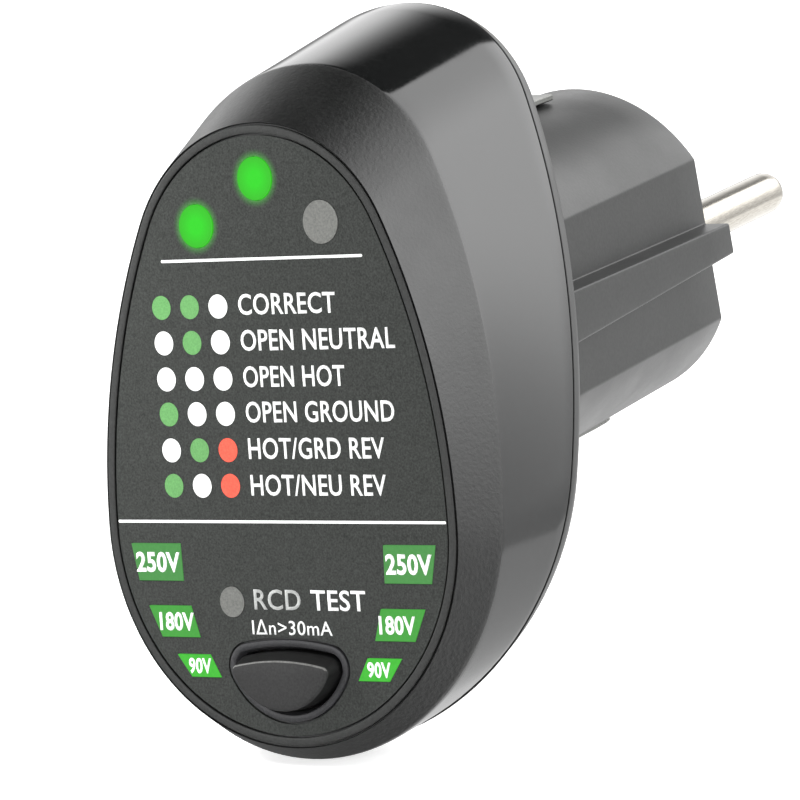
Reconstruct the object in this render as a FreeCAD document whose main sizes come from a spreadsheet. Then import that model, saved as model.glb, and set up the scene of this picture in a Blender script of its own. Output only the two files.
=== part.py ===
import FreeCAD, Part
import math
import os
import Sketcher

# Outlet tester plug: an egg-shaped indicator head with a sloping face, on a round earthed mains plug.
#
# Frame, in millimetres: the origin is the centre of the face of the plug that meets the bottom of
# the socket. +Y points along the two pins, away from the head. +Z is up and X runs across the pins.
# The head stands on the -Y side. Its face, its shoulder and the parting of its two shells are three
# planes that lean back by different angles, so the head is deep at the top and thin at the bottom.
#
# Two more frames are used while building. The face frame has its origin where the face plane meets
# the plug's axis, with Z up the face and Y going straight in. The back frame is the same for the
# plane in which the two shells part.

DIMENSIONS = {
    # planes of the head: distance in front of the origin and backward lean in degrees
    "face_depth": 66.1,
    "face_tilt": 10.6,
    "shoulder_depth": 59.5,
    "shoulder_tilt": 15.5,
    "parting_depth": 47.8,
    "parting_tilt": 25.6,
    # egg outlines: height of the two arc centres, and the radii of top, bottom and side arcs
    "label_top_centre": 10.9,
    "label_top_radius": 16.6,
    "label_low_centre": -14.0,
    "label_low_radius": 22.2,
    "label_side_radius": 74.0,
    "shoulder_top_centre": 14.0,
    "shoulder_top_radius": 19.4,
    "shoulder_low_centre": -14.9,
    "shoulder_low_radius": 25.7,
    "shoulder_side_radius": 84.0,
    "parting_top_centre": 18.4,
    "parting_top_radius": 19.7,
    "parting_low_centre": -14.7,
    "parting_low_radius": 28.1,
    "parting_side_radius": 97.0,
    # shells
    "wall": 2.0,
    "front_wall": 2.4,
    "rim_flat": 1.0,
    "rim_width": 1.25,
    "rim_height": 0.35,
    "lip_height": 0.7,
    "lip_taper": 0.57,
    "lip_overhang": 0.05,
    "parting_gap": 0.15,
    "dome_height": 4.4,
    "tongue_inset": 3.0,
    "tongue_width": 0.9,
    "tongue_height": 1.2,
    "boss_radius": 2.6,
    "pillar_radius": 3.0,
    "screw_floor": 1.2,
    "screw_head_height": 1.2,
    "screw_head_radius": 2.3,
    "screw_shank_radius": 1.1,
    "boss_upper_across": 15.9,
    "boss_upper_up": 21.0,
    "boss_lower_across": 20.6,
    "boss_lower_up": -27.0,
    # face label and the windows in it
    "label_thickness": 0.4,
    "label_sink": 0.1,
    "label_gap": 0.25,
    "lamp_radius": 2.3,
    "side_lamp_across": 8.4,
    "side_lamp_up": 18.15,
    "top_lamp_up": 22.95,
    "trip_lamp_radius": 1.65,
    "trip_lamp_across": -7.1,
    "trip_lamp_up": -22.0,
    "window_gap": 0.05,
    "window_proud": 0.05,
    # voltage windows, each leaning to follow the edge of the label
    "high_across": 16.9,
    "high_up": -17.8,
    "high_width": 6.8,
    "high_height": 4.0,
    "high_lean": 0.45,
    "middle_across": 15.1,
    "middle_up": -24.2,
    "middle_width": 5.8,
    "middle_height": 3.35,
    "middle_lean": 1.3,
    "low_across": 12.1,
    "low_up": -28.95,
    "low_width": 4.5,
    "low_height": 2.4,
    "low_lean": 1.6,
    # trip test button: a half moon in a bevelled well
    "button_top_centre": -57.2,
    "button_top_radius": 30.0,
    "button_low_centre": -26.1,
    "button_low_radius": 7.4,
    "button_side_radius": 1.2,
    "cap_top_centre": -57.95,
    "cap_top_radius": 30.0,
    "cap_low_centre": -26.2,
    "cap_low_radius": 7.2,
    "cap_side_radius": 0.7,
    "cap_chamfer": 0.3,
    "button_proud": 1.7,
    "button_gap": 0.2,
    "button_travel": 0.8,
    "button_flange": 0.9,
    "button_flange_reach": 0.8,
    "button_slack": 0.1,
    "stem_radius": 1.2,
    "well_bevel": 1.0,
    # inside, as depths behind the face
    "baffle_front": 2.5,
    "board_front": 6.6,
    "board_thickness": 1.6,
    "board_inset": 3.2,
    "lamp_height": 3.6,
    "post_radius": 2.0,
    "post_across": 12.0,
    "post_up": 6.0,
    "switch_side": 6.0,
    "switch_height": 1.8,
    "switch_up": -29.6,
    "plunger_radius": 1.5,
    "plunger_clearance": 0.05,
    "plunger_height": 1.05,
    "switch_floor": 0.2,
    "snap_radius": 1.9,
    "snap_thickness": 0.1,
    "led_radius": 1.5,
    "led_foot_radius": 1.75,
    "flat_led_width": 2.8,
    "flat_led_height": 1.4,
    "flat_led_thickness": 1.0,
    "board_screw_radius": 0.9,
    "board_screw_head_radius": 1.9,
    "board_screw_head_height": 1.2,
    "resistor_radius": 1.2,
    "resistor_length": 7.0,
    # mains plug
    "pin_radius": 2.4,
    "pin_spacing": 19.0,
    "pin_length": 19.0,
    "pin_neck_radius": 2.2,
    "pin_neck_height": 0.3,
    "pin_root": 14.0,
    "dish_radius": 2.75,
    "dish_depth": 0.35,
    "collar_reach": 0.8,
    "collar_thickness": 1.5,
    "tail_radius": 1.4,
    "tail_end": 18.0,
    "nose_height": 4.0,
    "nose_half_width": 12.4,
    "nose_radius": 6.0,
    "plug_radius": 18.0,
    "flat_across": 15.45,
    "rib_across": 18.6,
    "rib_half": 1.75,
    "plug_draft": 1.86,
    "plug_wall": 1.8,
    "plug_end_wall": 2.5,
    "root_depth": 62.0,
    "flange_front": 0.5,
    "flange_back": 2.1,
    "flange_inset": 7.5,
    "clip_width": 6.0,
    "clip_thickness": 0.8,
    "clip_reach": 19.2,
    "clip_tip": 7.0,
    "clip_length": 16.0,
    "clip_leg_end": 14.0,
    "strap_width": 5.0,
    "lead_radius": 0.9,
    "lead_bend": 6.0,
    "lead_turn": 38.0,
    # clearances that keep fixed neighbours apart
    "fixed_gap": 0.05,
    "slot_gap": 0.1,
}

PRIMITIVES = ("Part::Box", "Part::Cylinder", "Part::Sphere")

doc = FreeCAD.newDocument("outlet_tester")
sheet = doc.addObject("Spreadsheet::Sheet", "Dims")
for row, (alias, number) in enumerate(DIMENSIONS.items(), start=1):
    sheet.set(f"A{row}", alias)
    sheet.set(f"B{row}", str(number))
    sheet.setAlias(f"B{row}", alias)
doc.recompute()

pieces = {}


def value(expression):
    """The number that an expression of spreadsheet aliases comes to."""
    result = sheet.evalExpression(expression)
    return float(getattr(result, "Value", result))


def bind(thing, **expressions):
    """Tie properties to expressions; two underscores in a name stand for a dot."""
    for name, expression in expressions.items():
        thing.setExpression(name.replace("__", "."), expression)
    return thing


def name_piece(label, thing):
    """Keep a finished object as a sub-part under the name that its file will have."""
    thing.Label = label
    pieces[label] = thing
    return thing


def lean_back(thing, plane):
    """Carry a piece that was built in the frame of a leaning plane to its place on the head."""
    if thing.TypeId in PRIMITIVES:
        thing = group(f"{thing.Name}_placed", thing)
    thing.Placement = FreeCAD.Placement(
        FreeCAD.Vector(0, -value(f"Dims.{plane}_depth"), 0),
        FreeCAD.Rotation(FreeCAD.Vector(-1, 0, 0), value(f"Dims.{plane}_tilt")),
    )
    depth, tilt = f"Dims.{plane}_depth", f"Dims.{plane}_tilt"
    return bind(thing, Placement__Base__y=f"-{depth}", Placement__Rotation__Angle=tilt)


def in_face_frame(thing):
    return lean_back(thing, "face")


def in_back_frame(thing):
    return lean_back(thing, "parting")


# ---------------------------------------------------------------------------- sketches and features


def new_body(name):
    return doc.addObject("PartDesign::Body", name)


def sketch_across(body, name, depth="0", tilt="0"):
    """A sketch facing the head's front: X across, Y up, at a depth in front of the body's origin."""
    sketch = body.newObject("Sketcher::SketchObject", name)
    plane = next(item for item in body.Origin.OriginFeatures if item.Role == "XZ_Plane")
    sketch.AttachmentSupport = [(plane, "")]
    sketch.MapMode = "FlatFace"
    sketch.AttachmentOffset = FreeCAD.Placement(
        FreeCAD.Vector(0, 0, value(depth)),
        FreeCAD.Rotation(FreeCAD.Vector(-1, 0, 0), value(tilt)),
    )
    return bind(sketch, AttachmentOffset__Base__z=depth, AttachmentOffset__Rotation__Angle=tilt)


def add_constraint(sketch, expression, kind, *places):
    """A dimension of the sketch that follows an expression."""
    index = sketch.addConstraint(Sketcher.Constraint(kind, *places, value(expression)))
    sketch.setExpression(f"Constraints[{index}]", expression)


def draw_oval(sketch, outline, grow="0"):
    """Close an outline of four tangent arcs, symmetric about the vertical, grown by a margin.

    With side arcs larger than the others it is an egg, and with small ones it is a half moon.
    """
    sizes = {
        "top": f"Dims.{outline}_top_radius + {grow}",
        "right": f"Dims.{outline}_side_radius + {grow}",
        "low": f"Dims.{outline}_low_radius + {grow}",
    }
    heights = {"top": f"Dims.{outline}_top_centre", "low": f"Dims.{outline}_low_centre"}
    top_r, side_r, low_r = (value(sizes[key]) for key in ("top", "right", "low"))
    top_z, low_z = value(heights["top"]), value(heights["low"])
    # the side arc's centre lies at known distances from the other two centres
    to_top, to_low, apart = abs(side_r - top_r), abs(side_r - low_r), top_z - low_z
    along = (to_low**2 - to_top**2 + apart**2) / (2 * apart)
    side_x = math.sqrt(to_low**2 - along**2) * (-1 if side_r > top_r else 1)
    side_z = low_z + along
    outward = -1 if side_r > top_r else 1
    join_top = math.atan2(outward * (side_z - top_z), outward * side_x)
    join_low = math.atan2(outward * (side_z - low_z), outward * side_x)
    arcs = (
        (0, top_z, top_r, join_top, math.pi - join_top),
        (side_x, side_z, side_r, join_low, join_top),
        (0, low_z, low_r, math.pi - join_low, 2 * math.pi + join_low),
        (-side_x, side_z, side_r, math.pi - join_top, math.pi - join_low),
    )
    first = sketch.GeometryCount
    for x, z, radius, start, end in arcs:
        circle = Part.Circle(FreeCAD.Vector(x, z, 0), FreeCAD.Vector(0, 0, 1), radius)
        sketch.addGeometry(Part.ArcOfCircle(circle, start, end))
    top, right, low, left = range(first, first + len(arcs))
    for one, other in ((right, top), (top, left), (left, low), (low, right)):
        sketch.addConstraint(Sketcher.Constraint("Tangent", one, 2, other, 1))
    for arc in (top, low):
        sketch.addConstraint(Sketcher.Constraint("PointOnObject", arc, 3, -2))
    sketch.addConstraint(Sketcher.Constraint("Equal", right, left))
    add_constraint(sketch, sizes["top"], "Radius", top)
    add_constraint(sketch, sizes["low"], "Radius", low)
    add_constraint(sketch, sizes["right"], "Radius", right)
    add_constraint(sketch, heights["top"], "DistanceY", -1, 1, top, 3)
    add_constraint(sketch, heights["low"], "DistanceY", -1, 1, low, 3)
    return sketch


def draw_polygon(sketch, corners):
    """Close a straight-sided outline through corners given as pairs of expressions."""
    points = [FreeCAD.Vector(value(x), value(z), 0) for x, z in corners]
    first = sketch.GeometryCount
    count = len(points)
    for index, point in enumerate(points):
        sketch.addGeometry(Part.LineSegment(point, points[(index + 1) % count]))
    for index, (x, z) in enumerate(corners):
        line, following = first + index, first + (index + 1) % count
        sketch.addConstraint(Sketcher.Constraint("Coincident", line, 2, following, 1))
        add_constraint(sketch, x, "DistanceX", -1, 1, line, 1)
        add_constraint(sketch, z, "DistanceY", -1, 1, line, 1)
    return sketch


def loft(body, name, sketches, ruled=True, cuts=False):
    kind = "PartDesign::SubtractiveLoft" if cuts else "PartDesign::AdditiveLoft"
    feature = body.newObject(kind, name)
    feature.Profile = sketches[0]
    feature.Sections = sketches[1:]
    feature.Ruled = ruled
    return feature


def pad(body, name, sketch, length, forward=True):
    """Thicken a sketch; a sketch made by sketch_across grows towards the face when forward."""
    feature = body.newObject("PartDesign::Pad", name)
    feature.Profile = sketch
    feature.Reversed = not forward
    return bind(feature, Length=length)


def slab(name, outline, y, grow="0"):
    """A plate between two depths with an oval outline, in whichever frame it is then placed."""
    body = new_body(name)
    sketch = draw_oval(sketch_across(body, f"{name}_outline", f"-({y[0]})"), outline, grow)
    pad(body, f"{name}_pad", sketch, f"({y[1]}) - ({y[0]})", forward=False)
    return body


# --------------------------------------------------------------------------- primitives and booleans


def block(name, x, y, z):
    """A box between pairs of expressions on each axis."""
    box = doc.addObject("Part::Box", name)
    box.Placement.Base = FreeCAD.Vector(value(x[0]), value(y[0]), value(z[0]))
    bind(box, Length=f"({x[1]}) - ({x[0]})", Width=f"({y[1]}) - ({y[0]})", Height=f"({z[1]}) - ({z[0]})")
    return bind(box, Placement__Base__x=x[0], Placement__Base__y=y[0], Placement__Base__z=z[0])


def rod(name, x, z, y, radius):
    """A cylinder along Y between two depths."""
    cylinder = doc.addObject("Part::Cylinder", name)
    cylinder.Placement = FreeCAD.Placement(
        FreeCAD.Vector(value(x), value(y[0]), value(z)),
        FreeCAD.Rotation(FreeCAD.Vector(1, 0, 0), -90),
    )
    bind(cylinder, Radius=radius, Height=f"({y[1]}) - ({y[0]})")
    return bind(cylinder, Placement__Base__x=x, Placement__Base__y=y[0], Placement__Base__z=z)


def ball(name, x, y, z, radius):
    sphere = doc.addObject("Part::Sphere", name)
    bind(sphere, Radius=radius, Placement__Base__x=x, Placement__Base__y=y, Placement__Base__z=z)
    return sphere


def subtract(name, base, tool):
    feature = doc.addObject("Part::Cut", name)
    feature.Base = base
    feature.Tool = tool
    return feature


def overlap(name, base, tool):
    feature = doc.addObject("Part::Common", name)
    feature.Base = base
    feature.Tool = tool
    return feature


def join(name, *shapes):
    feature = doc.addObject("Part::MultiFuse", name)
    feature.Shapes = list(shapes)
    return feature


def group(name, *shapes):
    """Separate solids that make one sub-part."""
    feature = doc.addObject("Part::Compound", name)
    feature.Links = list(shapes)
    return feature


def stadium(name, y, grow="0"):
    """The oblong of the pin carrier, wider than high, between two depths."""
    radius = f"Dims.nose_radius + {grow}"
    reach = "(Dims.nose_half_width - Dims.nose_radius)"
    middle = block(f"{name}_middle", (f"-{reach}", reach), y, (f"-({radius})", radius))
    ends = [rod(f"{name}_end_{i}", f"{sign}{reach}", "0", y, radius) for i, sign in enumerate(("-", ""))]
    return join(name, middle, *ends)


# ----------------------------------------------------------------------------------- places on the face

LAMPS = {
    "left": ("-Dims.side_lamp_across", "Dims.side_lamp_up", "Dims.lamp_radius"),
    "top": ("0", "Dims.top_lamp_up", "Dims.lamp_radius"),
    "right": ("Dims.side_lamp_across", "Dims.side_lamp_up", "Dims.lamp_radius"),
    "trip": ("Dims.trip_lamp_across", "Dims.trip_lamp_up", "Dims.trip_lamp_radius"),
}
VOLTAGE_ROWS = {"high": "250", "middle": "180", "low": "90"}
SIDES = {"left": -1, "right": 1}
SINK = "Dims.label_sink"
LABEL_BACK = "Dims.label_sink + Dims.label_thickness"
WINDOW_FRONT = "Dims.label_sink - Dims.window_proud"
BOARD_BACK = "Dims.board_front + Dims.board_thickness"
SWITCH_FRONT = "Dims.board_front - Dims.switch_height"
THROUGH_FRONT = "Dims.front_wall + 1"
OUTSIDE = "-1"
FAR_BEHIND = "20"
CLIP_FRONT = "-(Dims.nose_height + Dims.clip_tip)"
CLIP_BACK = "-(Dims.nose_height + Dims.clip_tip + Dims.clip_length)"


def voltage_block(name, row, side, y, grow="0"):
    """A leaning four-sided block of a voltage window, wide at the top, between two depths."""
    body = new_body(name)
    half, rise = f"(Dims.{row}_width / 2 + {grow})", f"(Dims.{row}_height / 2 + {grow})"
    lean = f"Dims.{row}_lean / 2"
    middle = f"{side} * Dims.{row}_across"
    corners = [
        (f"{middle} + {side} * ({lean} + {half})", f"Dims.{row}_up + {rise}"),
        (f"{middle} + {side} * ({lean} - {half})", f"Dims.{row}_up + {rise}"),
        (f"{middle} + {side} * (-{lean} - {half} * 0.9)", f"Dims.{row}_up - {rise}"),
        (f"{middle} + {side} * (-{lean} + {half} * 0.9)", f"Dims.{row}_up - {rise}"),
    ]
    sketch = draw_polygon(sketch_across(body, f"{name}_outline", f"-({y[0]})"), corners)
    pad(body, f"{name}_pad", sketch, f"({y[1]}) - ({y[0]})", forward=False)
    return body


def lamp_rods(name, y, grow):
    return [rod(f"{name}_{key}", x, z, y, f"{r} + {grow}") for key, (x, z, r) in LAMPS.items()]


def voltage_blocks(name, y, grow):
    return [
        voltage_block(f"{name}_{row}_{side}", row, sign, y, grow)
        for row in VOLTAGE_ROWS
        for side, sign in SIDES.items()
    ]


def post_rods(name, y, radius):
    return [
        rod(f"{name}_{side}", f"{sign} * Dims.post_across", "Dims.post_up", y, radius)
        for side, sign in SIDES.items()
    ]


def boss_rods(name, depths, radius):
    """Four rods at the places of the case screws, in the back frame.

    The depths are one pair for all four, or a pair for each level.
    """
    rods = []
    for side, sign in SIDES.items():
        for level in ("upper", "lower"):
            across, up = f"{sign} * Dims.boss_{level}_across", f"Dims.boss_{level}_up"
            span = depths[level] if isinstance(depths, dict) else depths
            rods.append(rod(f"{name}_{level}_{side}", across, up, span, radius))
    return rods


# ------------------------------------------------------------------------------------------ front shell


def oval_across(body, name, depth, tilt, outline, grow="0"):
    """An oval outline in a leaning plane of the head."""
    return draw_oval(sketch_across(body, name, depth, tilt), outline, grow)


def front_blank():
    """The outside of the front shell as one solid: rim, textured band and glossy band."""
    body = new_body("front_blank")
    rim_depth = "Dims.face_depth - Dims.rim_height"
    shoulder_plane = ("Dims.shoulder_depth", "Dims.shoulder_tilt")
    parting_plane = ("Dims.parting_depth", "Dims.parting_tilt")
    face = oval_across(body, "face_edge", "Dims.face_depth", "Dims.face_tilt", "label", "Dims.rim_flat")
    rim = oval_across(body, "rim_edge", rim_depth, "Dims.face_tilt", "label", "Dims.rim_width")
    shoulder = oval_across(body, "shoulder", *shoulder_plane, "shoulder")
    parting = oval_across(body, "parting", *parting_plane, "parting")
    loft(body, "rim_chamfer", [face, rim])
    loft(body, "textured_band", [rim, shoulder])
    loft(body, "glossy_band", [shoulder, parting])
    return body


def front_cavity():
    """The hollow of the front shell, a wall's thickness inside its outline."""
    body = new_body("front_cavity")
    planes = (
        ("inner_face", "Dims.face_depth - Dims.front_wall", "Dims.face_tilt", "label", "-1"),
        ("inner_shoulder", "Dims.shoulder_depth", "Dims.shoulder_tilt", "shoulder", "-Dims.wall"),
        ("inner_parting", "Dims.parting_depth", "Dims.parting_tilt", "parting", "-Dims.wall"),
    )
    loft(body, "inner_loft", [oval_across(body, *plane) for plane in planes])
    return body


def label_recess():
    """The shallow pocket that the label lies in; it leaves an island round the button's well."""
    egg = slab("recess_egg", "label", ("-0.5", LABEL_BACK), "Dims.label_gap")
    island = slab("recess_island", "button", (OUTSIDE, "Dims.front_wall"), "Dims.well_bevel + 0.25")
    return subtract("label_recess", egg, island)


def button_well():
    body = new_body("button_well")
    mouth = draw_oval(sketch_across(body, "well_mouth", "0"), "button", "Dims.well_bevel")
    throat = draw_oval(sketch_across(body, "well_throat", "-Dims.well_bevel"), "button", "Dims.button_gap")
    end = draw_oval(sketch_across(body, "well_end", f"-({THROUGH_FRONT})"), "button", "Dims.button_gap")
    loft(body, "well_loft", [mouth, throat, end])
    return body


def make_front_shell():
    blank = front_blank()
    hollow = subtract("front_hollow", blank, front_cavity())
    boss_depths = {"upper": ("-18", "-0.3"), "lower": ("-6", "-0.3")}
    bosses = boss_rods("boss", boss_depths, "Dims.boss_radius")
    bosses = overlap("front_bosses", blank, in_back_frame(join("boss_blanks", *bosses)))
    posts = post_rods("post", ("Dims.front_wall - 0.5", "Dims.board_front"), "Dims.post_radius")
    solid = join("front_solid", hollow, bosses, in_face_frame(join("board_posts", *posts)))
    openings = [label_recess(), button_well()]
    openings += lamp_rods("lamp_hole", ("0", THROUGH_FRONT), "Dims.window_gap")
    openings += voltage_blocks("voltage_hole", ("0", THROUGH_FRONT), "Dims.window_gap")
    openings += post_rods("post_pilot", ("3.6", "Dims.board_front + 1"), "Dims.board_screw_radius")
    pilot_depths = {"upper": ("-7", "1"), "lower": ("-5", "1")}
    pilots = boss_rods("boss_pilot", pilot_depths, "Dims.screw_shank_radius")
    opened = subtract("front_opened", solid, in_face_frame(join("face_openings", *openings)))
    name_piece("front_shell", subtract("front_shell", opened, in_back_frame(join("boss_pilots", *pilots))))


def make_label():
    egg = slab("label_egg", "label", (SINK, LABEL_BACK))
    through = (OUTSIDE, "1")
    holes = lamp_rods("label_lamp", through, "Dims.window_gap")
    holes += voltage_blocks("label_voltage", through, "Dims.window_gap")
    holes.append(slab("label_button", "button", through, "Dims.well_bevel + 0.25 + Dims.label_gap"))
    name_piece("face_label", in_face_frame(subtract("face_label", egg, join("label_holes", *holes))))


def make_windows():
    depths = (WINDOW_FRONT, "Dims.front_wall")
    for key, (x, z, radius) in LAMPS.items():
        name_piece(f"lamp_window_{key}", in_face_frame(rod(f"lamp_window_{key}", x, z, depths, radius)))
    for row, volts in VOLTAGE_ROWS.items():
        for side, sign in SIDES.items():
            label = f"voltage_window_{volts}_{side}"
            name_piece(label, in_face_frame(voltage_block(label, row, sign, depths)))


# ------------------------------------------------------------------------------------------- rear cover

DOME_ANGLES = (20, 40, 60, 75, 90)
TONGUE_INSIDE = "-(Dims.tongue_inset + Dims.tongue_width)"
OUTER_REACH = 10.0
INNER_REACH = 5.0
BEYOND_COVER = "9"


def dome(name, start, lip_grow, reach, top, taper):
    """A shallow dome on the parting outline: a straight lip, then a quarter ellipse to a flat top.

    The taper leans the rest back from the lip, so that the lip is higher at the top of the head.
    """
    body = new_body(name)
    sections = [
        draw_oval(sketch_across(body, f"{name}_start", f"-({start})"), "parting", lip_grow),
        oval_across(body, f"{name}_lip", "-Dims.lip_height", taper, "parting", lip_grow),
    ]
    loft(body, f"{name}_edge", sections)
    rounded = [sections[-1]]
    for angle in DOME_ANGLES:
        turn = math.radians(angle)
        depth = f"-(Dims.lip_height + ({top} - Dims.lip_height) * {math.sin(turn):.4f})"
        grow = f"({lip_grow}) - {reach * (1 - math.cos(turn)):.4f}"
        rounded.append(oval_across(body, f"{name}_{angle}", depth, taper, "parting", f"({grow})"))
    loft(body, f"{name}_dome", rounded, ruled=False)
    return body


def make_rear_cover():
    outer = ("Dims.lip_overhang", OUTER_REACH, "Dims.dome_height", "Dims.lip_taper")
    outside = dome("cover_outside", "Dims.parting_gap", *outer)
    inner = (TONGUE_INSIDE, INNER_REACH, "(Dims.dome_height - Dims.wall)", "0")
    inside = dome("cover_inside", "-0.5", *inner)
    depths = ("Dims.parting_gap", BEYOND_COVER)
    pillars = join("pillar_blanks", *boss_rods("pillar", depths, "Dims.pillar_radius"))
    pillars = overlap("cover_pillars", outside, pillars)
    tongue = slab("tongue_outer", "parting", ("-Dims.tongue_height", "0.3"), "-Dims.tongue_inset")
    tongue = subtract("tongue_ring", tongue, slab("tongue_inner", "parting", ("-2", "1"), TONGUE_INSIDE))
    relief = boss_rods("tongue_relief", ("-3", "0"), "Dims.pillar_radius")
    tongue = subtract("tongue", tongue, join("tongue_reliefs", *relief))
    shell = join("cover_shell", subtract("cover_hollow", outside, inside), pillars, tongue)
    holes = boss_rods("screw_hole", ("-2", BEYOND_COVER), "Dims.screw_shank_radius + 0.3")
    holes += boss_rods("screw_sink", ("Dims.screw_floor", BEYOND_COVER), "Dims.screw_head_radius + 0.3")
    drilled = in_back_frame(subtract("cover_drilled", shell, join("cover_holes", *holes)))
    name_piece("rear_cover", subtract("rear_cover", drilled, plug_blank("cover_opening", "Dims.slot_gap")))


# ----------------------------------------------------------------------------------------- mains plug


def draw_plug(sketch, grow):
    """Round outline with a flat on each side and a guide rib in the middle of each flat."""
    radius = f"Dims.plug_radius + {grow}"
    flat, rib, half = f"Dims.flat_across + {grow}", f"Dims.rib_across + {grow}", f"Dims.rib_half + {grow}"
    round_r, flat_x, rib_x, rib_z = (value(item) for item in (radius, flat, rib, half))
    edge_z = math.sqrt(round_r**2 - flat_x**2)
    angle = math.atan2(edge_z, flat_x)
    upper = [(flat_x, edge_z), (flat_x, rib_z), (rib_x, rib_z)]
    right = upper + [(x, -z) for x, z in reversed(upper)]
    left = [(-x, -z) for x, z in right]
    circle = Part.Circle(FreeCAD.Vector(0, 0, 0), FreeCAD.Vector(0, 0, 1), round_r)
    for side, signs in ((right, 1), (left, -1)):
        first = sketch.GeometryCount
        for start, end in zip(side, side[1:]):
            sketch.addGeometry(Part.LineSegment(FreeCAD.Vector(*start, 0), FreeCAD.Vector(*end, 0)))
        for index in range(first, first + 4):
            sketch.addConstraint(Sketcher.Constraint("Coincident", index, 2, index + 1, 1))
        for index, kind in enumerate(("Vertical", "Horizontal", "Vertical", "Horizontal", "Vertical")):
            sketch.addConstraint(Sketcher.Constraint(kind, first + index))
        add_constraint(sketch, f"{signs} * ({flat})", "DistanceX", -1, 1, first, 1)
        add_constraint(sketch, f"{signs} * ({rib})", "DistanceX", -1, 1, first + 2, 1)
        add_constraint(sketch, f"{signs} * ({flat})", "DistanceX", -1, 1, first + 4, 1)
        add_constraint(sketch, f"{signs} * ({half})", "DistanceY", -1, 1, first + 1, 1)
        add_constraint(sketch, f"{-signs} * ({half})", "DistanceY", -1, 1, first + 3, 1)
    low = sketch.addGeometry(Part.ArcOfCircle(circle, math.pi + angle, 2 * math.pi - angle))
    top = sketch.addGeometry(Part.ArcOfCircle(circle, angle, math.pi - angle))
    for arc, start_line, start_end, end_line, end_end in ((low, 5, 1, 4, 2), (top, 0, 1, 9, 2)):
        sketch.addConstraint(Sketcher.Constraint("Coincident", arc, 3, -1, 1))
        sketch.addConstraint(Sketcher.Constraint("Coincident", arc, 1, start_line, start_end))
        sketch.addConstraint(Sketcher.Constraint("Coincident", arc, 2, end_line, end_end))
        add_constraint(sketch, radius, "Radius", arc)
    return sketch


def plug_blank(name, grow="0"):
    """The outside of the plug as one solid, widening by its draft from the end back to the root."""
    body = new_body(name)
    widening = "(Dims.root_depth - Dims.nose_height) * tan(Dims.plug_draft)"
    end = draw_plug(sketch_across(body, f"{name}_end", "Dims.nose_height"), f"({grow})")
    root = draw_plug(sketch_across(body, f"{name}_root", "Dims.root_depth"), f"({grow} + {widening})")
    loft(body, f"{name}_loft", [end, root])
    return body


def make_plug_shell():
    """The hollow plug body, its flange inside the rear cover and the grooves for the earth strips."""
    end = "-(Dims.nose_height + Dims.plug_end_wall)"
    bore = rod("plug_bore", "0", "0", ("-Dims.root_depth - 2", end), "Dims.plug_radius - Dims.plug_wall")
    between = "(Dims.flat_across - Dims.plug_wall)"
    flats = block("plug_bore_flats", (f"-{between}", between), ("-Dims.root_depth - 3", "0"), ("-30", "30"))
    bore = overlap("plug_hollow", bore, flats)
    flange_depths = ("Dims.flange_front", "Dims.flange_back")
    flange = slab("plug_flange_blank", "parting", flange_depths, "-Dims.flange_inset")
    relief = boss_rods("flange_relief", ("0", "5"), "Dims.pillar_radius + 0.2")
    flange = in_back_frame(subtract("plug_flange", flange, join("flange_reliefs", *relief)))
    solid = join("plug_solid", plug_blank("plug_outside"), flange)
    ahead = in_back_frame(block("plug_ahead", ("-40", "40"), ("-40", "Dims.flange_front"), ("-60", "60")))
    grooves = [ahead, bore, stadium("carrier_hole", ("-20", "0"), "Dims.fixed_gap")]
    half = "(Dims.clip_width / 2 + Dims.slot_gap)"
    back, front = f"{CLIP_BACK} - 2 * Dims.slot_gap", f"{CLIP_FRONT} + 2 * Dims.slot_gap"
    floor = "(Dims.clip_reach - Dims.clip_thickness - Dims.slot_gap)"
    for place, low, high in (("top", floor, "30"), ("bottom", "-30", f"-{floor}")):
        grooves.append(block(f"clip_groove_{place}", (f"-{half}", half), (back, front), (low, high)))
    slot_front = f"{back} + Dims.clip_thickness + 4 * Dims.slot_gap"
    slot_z = (f"-({floor} + 0.5)", f"{floor} + 0.5")
    grooves.append(block("clip_slot", (f"-{half}", half), (back, slot_front), slot_z))
    name_piece("plug_shell", subtract("plug_shell", solid, join("plug_cuts", *grooves)))


def make_pin_carrier():
    """The oblong insert that stands out of the plug's end, with a shallow dish round each pin."""
    inner = "-(Dims.nose_height + Dims.plug_end_wall)"
    nose = stadium("nose", (f"{inner} - 1", "0"))
    flange = stadium("carrier_flange", (f"{inner} - 2", f"{inner} - Dims.fixed_gap"), "1.2")
    holes = []
    hole_radius = "Dims.pin_neck_radius + Dims.fixed_gap"
    for side, sign in SIDES.items():
        across = f"{sign} * Dims.pin_spacing / 2"
        holes.append(rod(f"pin_hole_{side}", across, "0", ("-20", "1"), hole_radius))
        holes.append(rod(f"pin_dish_{side}", across, "0", ("-Dims.dish_depth", "1"), "Dims.dish_radius"))
    body = join("carrier_solid", nose, flange)
    name_piece("pin_carrier", subtract("pin_carrier", body, join("pin_holes", *holes)))


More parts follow.
